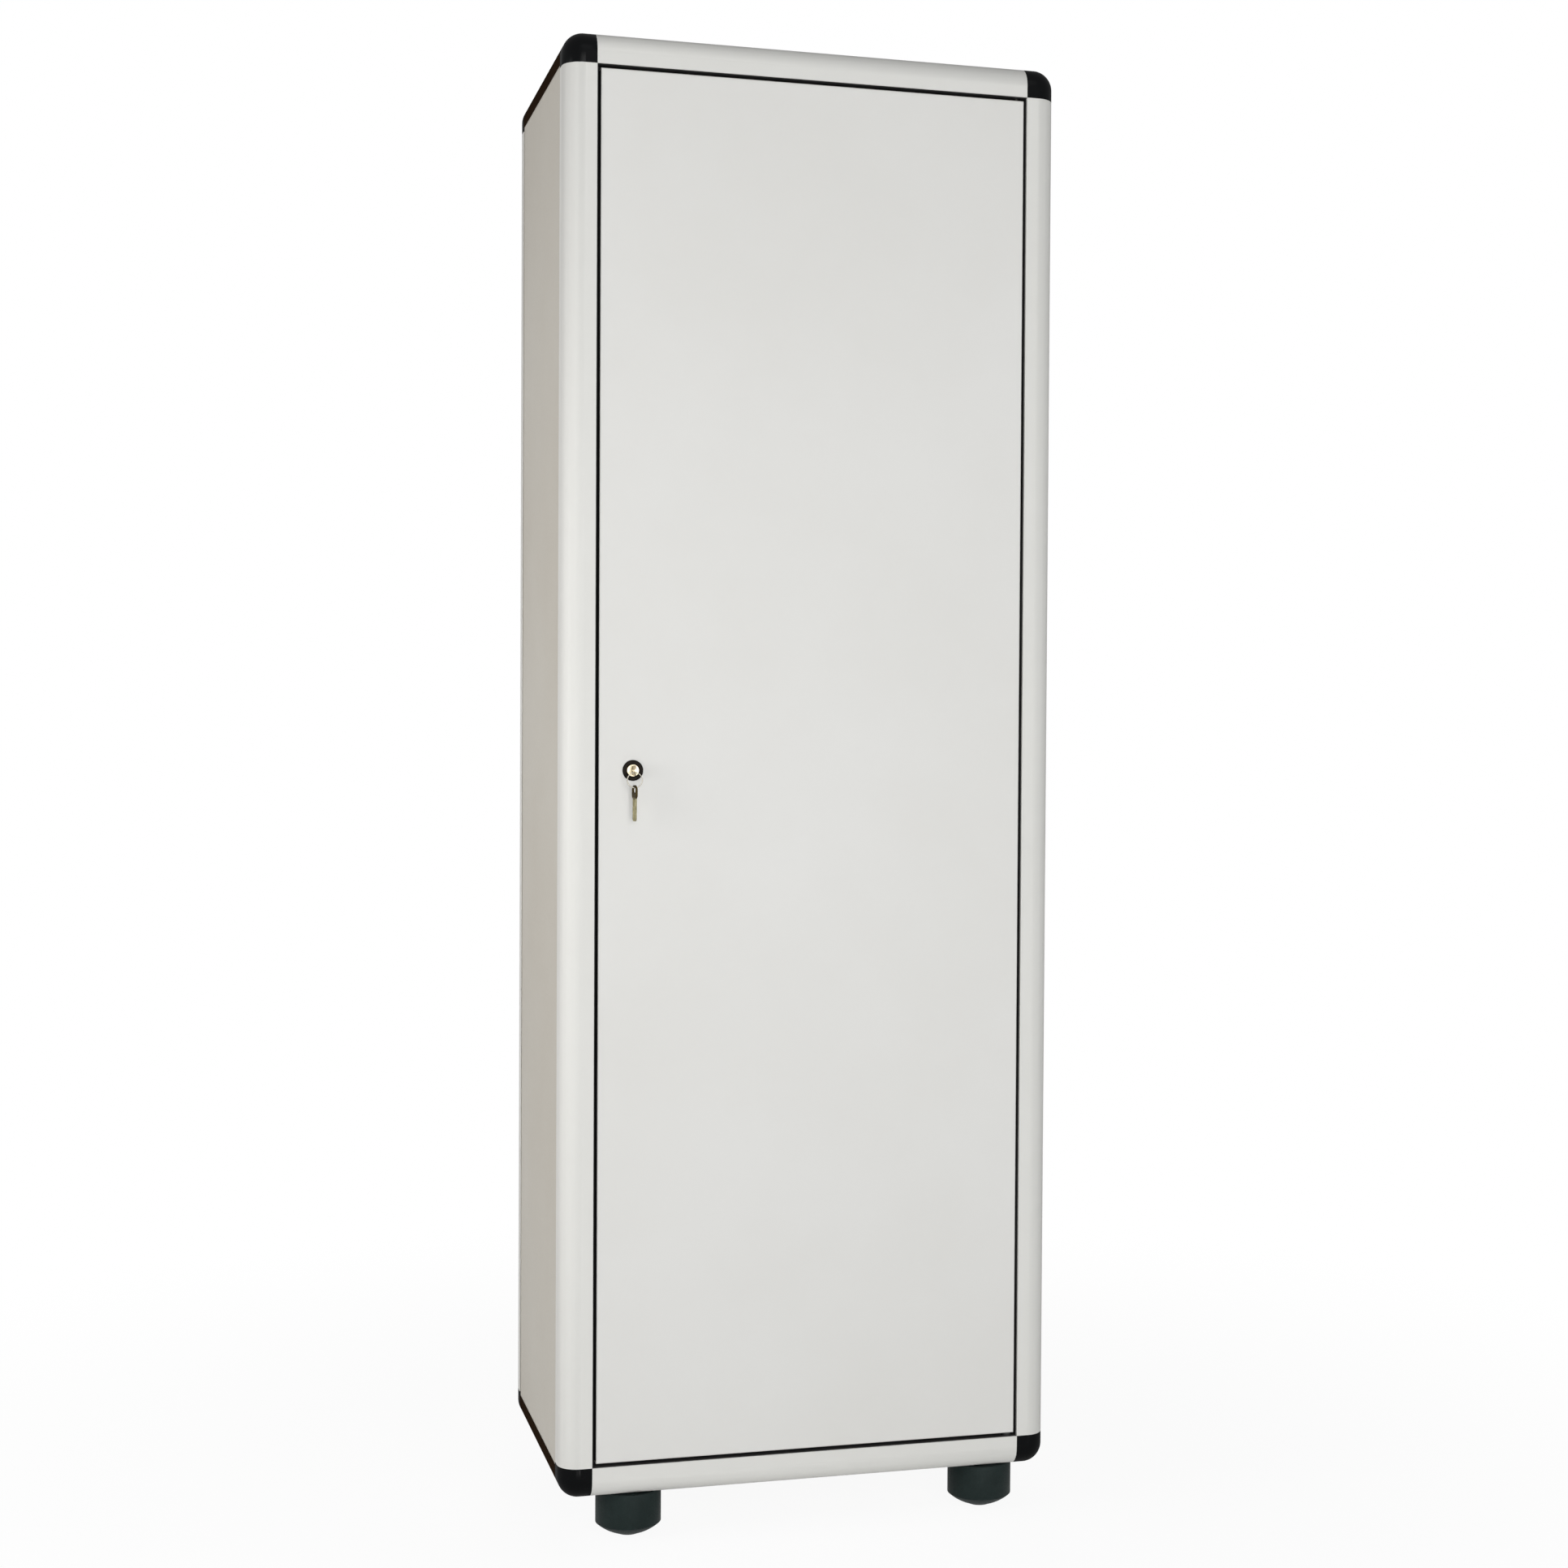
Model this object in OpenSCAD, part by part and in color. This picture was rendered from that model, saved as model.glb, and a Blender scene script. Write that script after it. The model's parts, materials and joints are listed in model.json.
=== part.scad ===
// Tall storage cabinet with a rounded profile frame, moulded corner caps and one pivoted door.
// Millimetres. The origin is on the floor, under the middle of the cabinet. +X is to the
// cabinet's right as seen from the front, +Y runs into its depth and +Z is up.

/* [Cabinet] */
// Width over the frame
cabinet_w = 615; // [450:5:900]
// Depth over the frame
cabinet_d = 400; // [340:5:600]
// Height of the frame, without the feet
frame_h = 1750; // [1000:10:2100]

/* [Frame profile] */
// Width of each face of the edge profile
profile_w = 39; // [38:0.5:45]
// Radius of the profile's outer corner
corner_r = 25; // [18:1:28]
// Wall of the profile
profile_wall = 2; // [1.6:0.1:2.4]
// Depth of the grooves that hold the panels
groove_d = 8; // [6:0.5:9]
// Depth of a depth rail's groove on its outer side, where the side panel shows above it
side_lip = 3; // [1.5:0.5:4]
// How far the panels lie behind the frame's faces
panel_recess = 1; // [0.6:0.1:1.6]
// Length of the spigots on a corner cap
spigot_l = 30; // [20:1:34]
// Wall of a hollow spigot
spigot_wall = 3; // [2:0.5:4]

/* [Panels and shelves] */
// Thickness of the side, rear, top and floor panels
panel_t = 1; // [0.8:0.1:1.4]
// Thickness of the shelf sheet
shelf_t = 1; // [0.8:0.1:1.5]
// Height of a shelf's folded edge
shelf_edge = 25; // [18:1:32]
// Width of the folded edge's return
shelf_return = 12; // [8:1:16]
// Distance between the slots of a shelf track
slot_pitch = 50; // [40:5:60]
// Width of a shelf track
track_w = 25; // [23:1:28]
// Depth of a shelf track
track_d = 10; // [8:0.5:12]
// Sheet thickness of the tracks and clips
track_t = 1.5; // [1.2:0.1:2]
// Width of a shelf clip
clip_w = 20; // [16:1:22]
// Reach of a clip's tab under the shelf
clip_reach = 12; // [8:1:14]
// Height of a clip's plate below its tab
clip_drop = 18; // [14:1:24]

/* [Door] */
// Gap between the door and the frame at its top, bottom and closing edge
door_gap = 4.6; // [3.5:0.1:5]
// Gap between the door and the frame at its hinge edge
hinge_gap = 4; // [3.8:0.1:5]
// How far the door's face lies behind the frame's face
door_recess = 1; // [0.5:0.1:2]
// Thickness of the door
door_t = 16; // [15:0.5:16]
// Sheet thickness of the door's skin
skin_t = 1.2; // [0.8:0.1:1.5]
// Outer bend radius of the door's skin
bend_r = 2; // [2:0.1:3]
// Width of the skin's rear lip
skin_lip = 12; // [10:1:16]
// Sheet thickness of the liner and the stiffener
liner_t = 1; // [0.8:0.1:1.4]
// Width of the stiffener
stiffener_w = 120; // [80:5:160]
// Distance from the door's top and bottom to the stiffener
stiffener_clear = 120; // [100:5:200]

/* [Door stop] */
// Width of the stop flange behind the door
stop_w = 14; // [12:0.5:16]
// Distance from the frame's face to the stop flange
stop_b = 23.5; // [23.5:0.5:25]
// Thickness of the stop flange
stop_t = 2; // [1.5:0.1:2.4]
// Width of the seal on the stop flange
seal_w = 12; // [8:0.5:12]
// Thickness of the seal's leg along the gap
seal_lining = 1; // [0.6:0.1:1.2]
// Thickness of the seal's leg beside the pivots
seal_pivot_t = 3; // [1:0.5:3]

/* [Pivots] */
// Radius of a pivot pin
pin_r = 3; // [2.5:0.1:3.5]
// Length of a pin inside its block
pin_seat = 30; // [20:1:36]
// Distance of the pivot axis from the door's edge and its face
pivot_in = 8; // [7.5:0.1:8]
// Outer radius of a bush
bush_r = 5; // [4.5:0.1:5.5]
// Radius of a bush's flange
bush_flange_r = 7; // [6.5:0.1:7]
// Thickness of a bush's flange
bush_flange_t = 1.5; // [1:0.1:2]
// Length of a bush behind the profile's wall
bush_l = 10; // [8:0.5:14]
// Width of a pivot block
block_w = 26; // [20:1:34]
// Height of a pivot block
block_h = 40; // [36:1:50]

/* [Lock] */
// Distance from the door's free edge to the lock's axis
lock_in = 41; // [36:0.5:50]
// Radius of the lock's head
head_r = 12.5; // [11.5:0.1:13]
// Thickness of the lock's head
head_t = 2; // [1.6:0.1:2]
// Radius of the threaded body of the lock
lock_r = 9.5; // [9:0.1:10]
// Radius of the plug
plug_r = 7; // [6:0.1:7.5]
// Width of the lock's fixing nut over its flats
lock_nut_af = 24; // [22:0.5:27]
// Thickness of the fixing nut
lock_nut_t = 5; // [4:0.5:6]
// Gap between the frame and the tip of the cam when it is turned shut
cam_tip_gap = 3; // [2:0.5:6]
// Width of the cam at its tip
cam_w = 14; // [12:0.5:16]
// Thickness of the cam
cam_t = 2.5; // [2:0.1:3]
// Radius of the cam round the plug
cam_hub_r = 10; // [8:0.5:12]
// Side of the plug's square tail
tail_w = 8; // [7:0.1:8]
// Radius of the threaded stud behind the tail
stud_r = 3; // [2.5:0.1:3.5]
// Thickness of the cam's nut
cam_nut_t = 4; // [3:0.5:5]
// Thickness of the strike plate
strike_t = 1.5; // [1:0.1:2]
// Height of the strike plate
strike_h = 60; // [40:1:90]

/* [Keys] */
// Length of a key's bow
bow_l = 17.5; // [15:0.5:17.5]
// Width of a key's bow
bow_w = 12.6; // [12:0.1:14]
// Radius of the hole in the bow
bow_hole_r = 3.6; // [3.4:0.1:3.8]
// Distance from the bow's outer end to the middle of its hole
bow_hole_in = 5.9; // [5.6:0.1:6.4]
// Length of the key's blade
blade_l = 25.5; // [22:0.5:26]
// Height of the key's blade
blade_h = 8; // [7:0.1:8]
// Thickness of a key
key_t = 2; // [1.6:0.1:2.2]
// Distance from the plug's face to the bow
bow_clear = 0.5; // [0.4:0.1:0.6]
// Radius of the key ring's wire
wire_r = 0.6; // [0.5:0.05:0.65]
// Mean radius of the key ring
ring_r = 9; // [8.8:0.05:9.1]
// Turn of the hanging key about the vertical, its flat side towards the front left
spare_turn = 16; // [0:1:16]

/* [Feet] */
// Height of the feet
foot_h = 56; // [40:1:80]
// Radius of a foot
foot_r = 40; // [38:0.5:42]
// Height of a foot's domed underside
foot_dome_h = 14.5; // [10:0.5:20]
// Distance from the cabinet's side to a foot's axis
foot_in = 82; // [80:1:120]
// How far all the feet stand to the right of an even spacing, as in the photograph
foot_shift = 9; // [0:0.5:12]
// Distance from the cabinet's front or rear to a foot's axis
foot_back = 48; // [48:0.5:70]
// Radius of a foot's rubber pad
pad_r = 14; // [10:0.5:16.5]
// Thickness of a foot's rubber pad
pad_t = 3; // [2.5:0.1:4]
// How far a pad stands out of its foot
pad_out = 1; // [0.5:0.1:1.5]
// Radius of a foot's bolt
bolt_r = 4; // [3:0.5:4]
// Depth of a bolt in its foot
bolt_grip = 34; // [20:1:34]
// Width of a foot bar
foot_bar_w = 56; // [40:1:68]
// Height of a foot bar
foot_bar_h = 20; // [12:1:30]
// Sheet thickness of a foot bar
foot_bar_t = 2; // [1.5:0.1:3]

/* [Clearances] */
// Gap between pieces that are pushed together
fit = 0.2; // [0.1:0.05:0.3]
// Gap between moving pieces and their seats
run = 0.3; // [0.2:0.05:0.35]
// Radial clearance of a shaft in its bore
bore_fit = 0.06; // [0.03:0.01:0.08]
// Radial clearance of a pressed pin
press_fit = 0.02; // [0.01:0.01:0.03]

/* [Hidden] */

// Colours, as the photograph shows them
frame_colour = [0.87, 0.87, 0.87];
panel_colour = [0.73, 0.70, 0.66];
door_colour = [0.86, 0.86, 0.84];
cap_colour = [0.08, 0.08, 0.09];
depth_rail_colour = [0.13, 0.11, 0.09];
foot_colour = [0.13, 0.16, 0.15];
rubber_colour = [0.05, 0.05, 0.05];
zinc_colour = [0.66, 0.67, 0.68];
nickel_colour = [0.75, 0.73, 0.68];
black_nickel_colour = [0.13, 0.12, 0.11];
brass_colour = [0.72, 0.60, 0.34];
nylon_colour = [0.07, 0.07, 0.07];

// Smoothness of the round shapes
round_fn = 96;
small_fn = 48;

// Slack that makes a cut reach past a face
cut = 1;

// Frame and cabinet levels
frame_mid = foot_h + frame_h / 2;
groove_w = panel_t + 2 * fit;
core_in = panel_recess + groove_w + profile_wall;
core_out = profile_w - profile_wall;
peg_in = corner_r - (corner_r - core_in - fit) / sqrt(2);
peg_out = core_out - fit;
panel_a = panel_recess + fit;
panel_end_gap = 1;
panel_grip = groove_d - panel_end_gap;

// Shelf layout
shelf_count = 4;
slot_margin = 40;
first_slot = profile_w + slot_margin;
slot_count = floor((frame_h - 2 * first_slot) / slot_pitch) + 1;
slot_w = 10;
slot_h = 6;
track_end_gap = 5;
track_in = 8;
track_mid = track_in + track_w / 2;
shelf_side_gap = 2;
shelf_a = panel_a + panel_t + shelf_side_gap;
shelf_b = profile_w + track_d + shelf_side_gap;
clip_t = 2;

// Door
door_left = -cabinet_w / 2 + profile_w + door_gap;
door_right = cabinet_w / 2 - profile_w - hinge_gap;
door_w = door_right - door_left;
door_mid_x = (door_left + door_right) / 2;
door_h = frame_h - 2 * profile_w - 2 * door_gap;
door_face = -cabinet_d / 2 + door_recess;
pivot_x = door_right - pivot_in;
pivot_y = door_face + pivot_in;
door_bottom = frame_mid - door_h / 2;
opening_bottom = foot_h + profile_w;
opening_top = foot_h + frame_h - profile_w;
liner_y = door_t - skin_t - liner_t;
block_t = liner_y - skin_t;
seal_front = door_recess + door_t + run;
seal_start = 1.5;
hinge_seal_start = 4;
pivot_sweep = (pivot_in - bend_r) * sqrt(2) + bend_r;
sweep_zone = pivot_in + pivot_sweep + hinge_gap + run;

// Lock, measured along its axis from the door's face
lock_x = door_left + lock_in;
cam_front = stop_b + stop_t + strike_t + run - door_recess;
cam_reach = door_gap + lock_in - cam_tip_gap;
lock_l = cam_front - run;
key_depth = blade_l - bow_clear + run;
key_slot_w = key_t + 2 * fit;
key_slot_h = blade_h + 2 * run;
tail_end = cam_front + cam_t;
stud_past_nut = 1;
stud_end = tail_end + cam_nut_t + stud_past_nut;
cam_nut_wall = 2;
cam_nut_af = 2 * (stud_r + cam_nut_wall);
bow_out = head_t + bow_clear + bow_l;
hole_out = bow_out - bow_hole_in;

// Key ring and spare key, below the lock's axis
web_mid = (bow_w / 2 + bow_hole_r) / 2;
web_half = (bow_w / 2 - bow_hole_r) / 2;
web_turn_r = sqrt(pow(web_half, 2) + pow(key_t / 2, 2));
ring_mid = web_mid + ring_r - wire_r - web_turn_r - run;
spare_wire = ring_mid + ring_r;
spare_hole = spare_wire + bow_hole_r - wire_r - run;

// Feet
foot_mid_x = cabinet_w / 2 - foot_in;
foot_mid_y = cabinet_d / 2 - foot_back;
pad_rim = 1;
dome_start_r = pad_r + pad_rim;
dome_rise = foot_dome_h - pad_out;
dome_mid = (foot_dome_h + pad_out) / 2 + (pow(foot_r, 2) - pow(dome_start_r, 2)) / (2 * dome_rise);
dome_r = sqrt(pow(foot_r, 2) + pow(dome_mid - foot_dome_h, 2));
panel_top_z = foot_h + panel_a + panel_t;
bolt_head_af = 13;
bolt_head_t = 5.5;

// Frame profile

// Square from low to high with its outer corner rounded about the profile's corner centre
module corner_square(low, high) {
  intersection() {
    translate([low, low]) square(high - low);
    union() {
      translate([corner_r, low]) square([high - corner_r, high - low]);
      translate([low, corner_r]) square([high - low, high - corner_r]);
      translate([corner_r, corner_r]) circle(r = corner_r - low, $fn = round_fn);
    }
  }
}

// Section of an edge profile: hollow, with one or two panel grooves
module profile_section(second_groove) {
  difference() {
    corner_square(0, profile_w);
    corner_square(core_in, core_out);
    translate([panel_recess, profile_w - groove_d]) square([groove_w, groove_d + cut]);
    if (second_groove) {
      translate([profile_w - groove_d, panel_recess]) square([groove_d + cut, groove_w]);
    }
  }
}

// Section of the flange that the door's seal sits on
module stop_section() {
  translate([profile_w, stop_b]) square([stop_w, stop_t]);
}

// Puts a shape drawn from the front left bottom corner inwards at any of the eight corners
module at_corner(right, rear, top) {
  translate([0, 0, frame_mid])
    mirror([right, 0, 0])
      mirror([0, rear, 0])
        mirror([0, 0, top])
          translate([-cabinet_w / 2, -cabinet_d / 2, -frame_h / 2])
            children();
}

// Runs a section along X: its first axis points up and its second points to the rear
module along_x(start, length) {
  translate([start, 0, 0])
    rotate([0, -90, 0])
      translate([0, 0, -length])
        linear_extrude(length) children();
}

// Runs a section along Y: its first axis points up and its second points inwards
module along_y(start, length) {
  translate([0, start, 0])
    rotate([0, -90, -90])
      linear_extrude(length) children();
}

module post(right, rear) {
  color(frame_colour) at_corner(right, rear, 0) {
    translate([0, 0, profile_w])
      linear_extrude(frame_h - 2 * profile_w) union() {
        profile_section(rear == 1);
        if (rear == 0) stop_section();
      }
  }
}

module cross_rail(rear, top) {
  length = cabinet_w - 2 * profile_w;
  color(frame_colour) at_corner(0, rear, top) {
    difference() {
      union() {
        along_x(profile_w, length) profile_section(rear == 1);
        if (rear == 0) {
          along_x(profile_w + stop_w, length - 2 * stop_w) stop_section();
        }
      }
      if (rear == 0) {
        translate([cabinet_w / 2 + pivot_x, pivot_in + door_recess, core_out - bush_l - cut])
          cylinder(r = bush_r + press_fit, h = bush_l + profile_wall + 2 * cut, $fn = small_fn);
      }
    }
  }
}

// Black edge profile, whose outer lip beside the side panel is shorter than the groove
module depth_rail(right, top) {
  lip_cut = groove_d - side_lip;
  color(depth_rail_colour) at_corner(right, 0, top)
    along_y(profile_w, cabinet_d - 2 * profile_w) difference() {
      profile_section(true);
      translate([profile_w - lip_cut, -cut]) square([lip_cut + cut, panel_recess + 2 * cut]);
    }
}

// Block with its outer corner and the three edges that meet there rounded
module cap_body() {
  p = profile_w;
  r = corner_r;
  intersection() {
    cube(p);
    union() {
      translate([r, r, 0]) cube([p - r, p - r, p]);
      translate([r, 0, r]) cube([p - r, p, p - r]);
      translate([0, r, r]) cube([p, p - r, p - r]);
      translate([r, r, r]) cylinder(r = r, h = p, $fn = round_fn);
      translate([r, r, r]) rotate([-90, 0, 0]) cylinder(r = r, h = p, $fn = round_fn);
      translate([r, r, r]) rotate([0, 90, 0]) cylinder(r = r, h = p, $fn = round_fn);
      translate([r, r, r]) sphere(r = r, $fn = round_fn);
    }
  }
}

// Hollow square spigot that plugs into the end of a profile, standing up from the cap
module spigot() {
  side = peg_out - peg_in;
  translate([peg_in, peg_in, profile_w]) difference() {
    cube([side, side, spigot_l]);
    translate([spigot_wall, spigot_wall, 0])
      cube([side - 2 * spigot_wall, side - 2 * spigot_wall, spigot_l + cut]);
  }
}

module corner_cap(right, rear, top) {
  color(cap_colour) at_corner(right, rear, top) {
    difference() {
      union() {
        cap_body();
        spigot();
        mirror([1, -1, 0]) mirror([0, 1, -1]) spigot();
        mirror([0, 1, -1]) spigot();
      }
      if (right == 1 && rear == 0) {
        translate([cabinet_w / 2 - pivot_x, pivot_in + door_recess, peg_out - bush_l - cut])
          cylinder(r = bush_r + run, h = bush_l + 2 * cut, $fn = small_fn);
      }
    }
  }
}

// Panels: each is notched at its corners, where the caps stand

module notched(size_u, size_v) {
  translate([-panel_grip, 0]) square([size_u + 2 * panel_grip, size_v]);
  translate([0, -panel_grip]) square([size_u, size_v + 2 * panel_grip]);
}

module side_panel(right) {
  color(panel_colour) at_corner(right, 0, 0)
    translate([panel_a, profile_w, profile_w])
      rotate([90, 0, 90])
        linear_extrude(panel_t) notched(cabinet_d - 2 * profile_w, frame_h - 2 * profile_w);
}

module rear_panel() {
  color(panel_colour) at_corner(0, 1, 0)
    translate([profile_w, panel_a + panel_t, profile_w])
      rotate([90, 0, 0])
        linear_extrude(panel_t) notched(cabinet_w - 2 * profile_w, frame_h - 2 * profile_w);
}

module flat_panel() {
  translate([profile_w, profile_w, panel_a])
    linear_extrude(panel_t) notched(cabinet_w - 2 * profile_w, cabinet_d - 2 * profile_w);
}

module top_panel() {
  color(panel_colour) at_corner(0, 0, 1) flat_panel();
}

module floor_panel() {
  color(panel_colour) difference() {
    at_corner(0, 0, 0) flat_panel();
    at_feet() cylinder(r = bolt_r + run, h = foot_h + profile_w, $fn = small_fn);
  }
}

// Shelves

function slot_level(k) = foot_h + first_slot + k * slot_pitch;
function shelf_slot(i) = round(i * slot_count / (shelf_count + 1));
function shelf_level(i) = slot_level(shelf_slot(i)) + slot_h / 2;

// Tray whose edges are folded down and in, resting with its edges on the clips
module shelf(i) {
  w = cabinet_w - 2 * shelf_a;
  d = cabinet_d - 2 * shelf_b;
  inner = [w - 2 * shelf_t, d - 2 * shelf_t, shelf_edge - 2 * shelf_t];
  mouth = [w - 2 * shelf_return, d - 2 * shelf_return, shelf_edge];
  color(door_colour) translate([0, 0, shelf_level(i)]) difference() {
    translate([-w / 2, -d / 2, 0]) cube([w, d, shelf_edge]);
    translate([-inner[0] / 2, -inner[1] / 2, shelf_t]) cube(inner);
    translate([-mouth[0] / 2, -mouth[1] / 2, -shelf_t - cut]) cube(mouth);
  }
}

// Slotted channel, open towards the post that carries it
module shelf_track(right, rear) {
  length = frame_h - 2 * profile_w - 2 * track_end_gap;
  at_corner(right, rear, 0) difference() {
    translate([track_mid - track_w / 2, profile_w, profile_w + track_end_gap])
      difference() {
        cube([track_w, track_d, length]);
        translate([track_t, -cut, -cut])
          cube([track_w - 2 * track_t, track_d - track_t + cut, length + 2 * cut]);
      }
    for (k = [0 : slot_count - 1]) {
      translate([
        track_mid - slot_w / 2,
        profile_w + track_d - track_t - cut,
        first_slot + k * slot_pitch - slot_h / 2
      ])
        cube([slot_w, track_t + 2 * cut, slot_h]);
    }
  }
}

module shelf_tracks(right) {
  color(zinc_colour) {
    shelf_track(right, 0);
    shelf_track(right, 1);
  }
}

// Clip: a tab under the shelf, a plate on the track and a hook through the slot
module shelf_clip() {
  translate([-clip_w / 2, 0, -clip_t]) cube([clip_w, clip_reach, clip_t]);
  translate([-clip_w / 2, 0, -clip_t - clip_drop]) cube([clip_w, clip_t, clip_drop]);
  translate([-slot_w / 2 + fit, -track_t - clip_t, -clip_t - slot_h / 2])
    cube([slot_w - 2 * fit, track_t + clip_t, clip_t]);
}

module shelf_clips() {
  color(zinc_colour)
    for (i = [1 : shelf_count], right = [0, 1], rear = [0, 1]) {
      at_corner(right, rear, 0)
        translate([track_mid, profile_w + track_d, shelf_level(i) - foot_h])
          shelf_clip();
    }
}

// Door surround

// Rubber frame: a soft leg on the stop flange and a thin leg along the gap
module door_seal() {
  w = cabinet_w - 2 * profile_w;
  h = frame_h - 2 * profile_w;
  lining_w = w - 2 * seal_lining;
  lining_h = h - 2 * seal_lining;
  front = -cabinet_d / 2;
  color(rubber_colour) difference() {
    translate([-w / 2, front + seal_start, opening_bottom])
      cube([w, stop_b - seal_start, h]);
    translate([-w / 2 + seal_w, front, opening_bottom + seal_w])
      cube([w - 2 * seal_w, stop_b + cut, h - 2 * seal_w]);
    translate([-lining_w / 2, front, opening_bottom + seal_lining])
      cube([lining_w, seal_front, lining_h]);
    translate([w / 2 - sweep_zone, front, opening_bottom + seal_lining])
      cube([sweep_zone - seal_lining, stop_b - seal_pivot_t, lining_h]);
    translate([w / 2 - seal_lining - cut, front, opening_bottom + seal_lining])
      cube([seal_lining + 2 * cut, hinge_seal_start, lining_h]);
    translate([pivot_x, pivot_y, 0])
      cylinder(r = bush_flange_r + run, h = foot_h + frame_h, $fn = small_fn);
  }
}

// Steel plate behind the stop flange, bevelled where the cam slides on
module strike_plate() {
  bevel = 4;
  half = strike_h / 2;
  color(zinc_colour)
    translate([-cabinet_w / 2 + profile_w, -cabinet_d / 2 + stop_b + stop_t, frame_mid])
      rotate([90, 0, 90])
        linear_extrude(stop_w)
          polygon([[0, -half], [strike_t, -half + bevel], [strike_t, half - bevel], [0, half]]);
}

// Flanged bush in the rail, drawn at the lower pivot
module hinge_bush() {
  difference() {
    union() {
      translate([0, 0, -profile_wall - bush_l])
        cylinder(r = bush_r, h = profile_wall + bush_l + bush_flange_t, $fn = small_fn);
      cylinder(r = bush_flange_r, h = bush_flange_t, $fn = small_fn);
    }
    translate([0, 0, -profile_wall - bush_l - cut])
      cylinder(
        r = pin_r + bore_fit,
        h = profile_wall + bush_l + bush_flange_t + 2 * cut,
        $fn = small_fn
      );
  }
}

module hinge_bush_bottom() {
  color(nylon_colour) translate([pivot_x, pivot_y, opening_bottom]) hinge_bush();
}

module hinge_bush_top() {
  color(nylon_colour)
    translate([pivot_x, pivot_y, opening_top]) mirror([0, 0, 1]) hinge_bush();
}

// Washer between the lower bush and the door, which carries the door's weight
module thrust_washer() {
  thickness = door_gap - bush_flange_t - run;
  color(nylon_colour) translate([pivot_x, pivot_y, opening_bottom + bush_flange_t]) difference() {
    cylinder(r = bush_flange_r, h = thickness, $fn = small_fn);
    translate([0, 0, -cut])
      cylinder(r = pin_r + bore_fit, h = thickness + 2 * cut, $fn = small_fn);
  }
}

// Base

module at_feet() {
  for (x = [-foot_mid_x, foot_mid_x], y = [-foot_mid_y, foot_mid_y]) {
    translate([x + foot_shift, y, 0]) children();
  }
}

// Channel over the floor panel that ties two feet to the frame
module foot_bar(side) {
  length = cabinet_d - 2 * profile_w - 2 * run;
  color(zinc_colour) difference() {
    translate([
      side * foot_mid_x + foot_shift - foot_bar_w / 2,
      -length / 2,
      panel_top_z
    ]) difference() {
      cube([foot_bar_w, length, foot_bar_h]);
      translate([foot_bar_t, -cut, foot_bar_t])
        cube([foot_bar_w - 2 * foot_bar_t, length + 2 * cut, foot_bar_h]);
    }
    at_feet() cylinder(r = bolt_r + run, h = foot_h + profile_w, $fn = small_fn);
  }
}

// Round foot with a domed underside, a socket for the pad and a hole for the bolt
module foot(right, rear) {
  boss_r = foot_back - profile_w - run;
  dome_end = foot_dome_h + cut;
  wall_start = foot_dome_h + cut / 2;
  translate([foot_shift, 0, 0]) at_corner(right, rear, 0)
    translate([foot_in, foot_back, -foot_h])
      color(foot_colour) difference() {
        union() {
          rotate_extrude($fn = round_fn) {
            translate([0, wall_start]) square([foot_r, foot_h - wall_start]);
            intersection() {
              translate([0, dome_mid]) circle(r = dome_r, $fn = round_fn);
              translate([0, pad_out]) square([foot_r, dome_end - pad_out]);
            }
          }
          translate([0, 0, foot_h - cut]) cylinder(r = boss_r, h = cut + panel_a, $fn = small_fn);
        }
        translate([0, 0, pad_out - cut])
          cylinder(r = pad_r + fit, h = pad_t - pad_out + cut, $fn = round_fn);
        translate([0, 0, foot_h - bolt_grip - run])
          cylinder(r = bolt_r + press_fit, h = bolt_grip + 2 * cut, $fn = small_fn);
      }
}

module foot_pads() {
  color(rubber_colour) at_feet() cylinder(r = pad_r, h = pad_t, $fn = round_fn);
}

// Hex bolts that hold the feet, with their heads on the foot bars
module foot_bolts() {
  seat = panel_top_z + foot_bar_t;
  color(zinc_colour) at_feet() {
    translate([0, 0, foot_h - bolt_grip])
      cylinder(r = bolt_r, h = seat - foot_h + bolt_grip + cut, $fn = small_fn);
    translate([0, 0, seat]) cylinder(d = bolt_head_af / cos(30), h = bolt_head_t, $fn = 6);
  }
}

// Door

// Mirrors a shape about the door's mid height
module flip_height() {
  translate([0, 0, frame_mid]) mirror([0, 0, 1]) translate([0, 0, -frame_mid]) children();
}

// Puts a shape drawn along +Z on the lock's axis, pointing into the cabinet from the door's face
module at_lock() {
  translate([lock_x, door_face, frame_mid]) rotate([-90, 0, 0]) children();
}

// Rectangle with rounded corners, centred on X and standing on the X axis
module bent_section(w, h) {
  translate([-w / 2 + bend_r, 0]) square([w - 2 * bend_r, h]);
  translate([-w / 2, bend_r]) square([w, h - 2 * bend_r]);
  for (x = [-w / 2 + bend_r, w / 2 - bend_r], y = [bend_r, h - bend_r]) {
    translate([x, y]) circle(r = bend_r, $fn = small_fn);
  }
}

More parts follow.
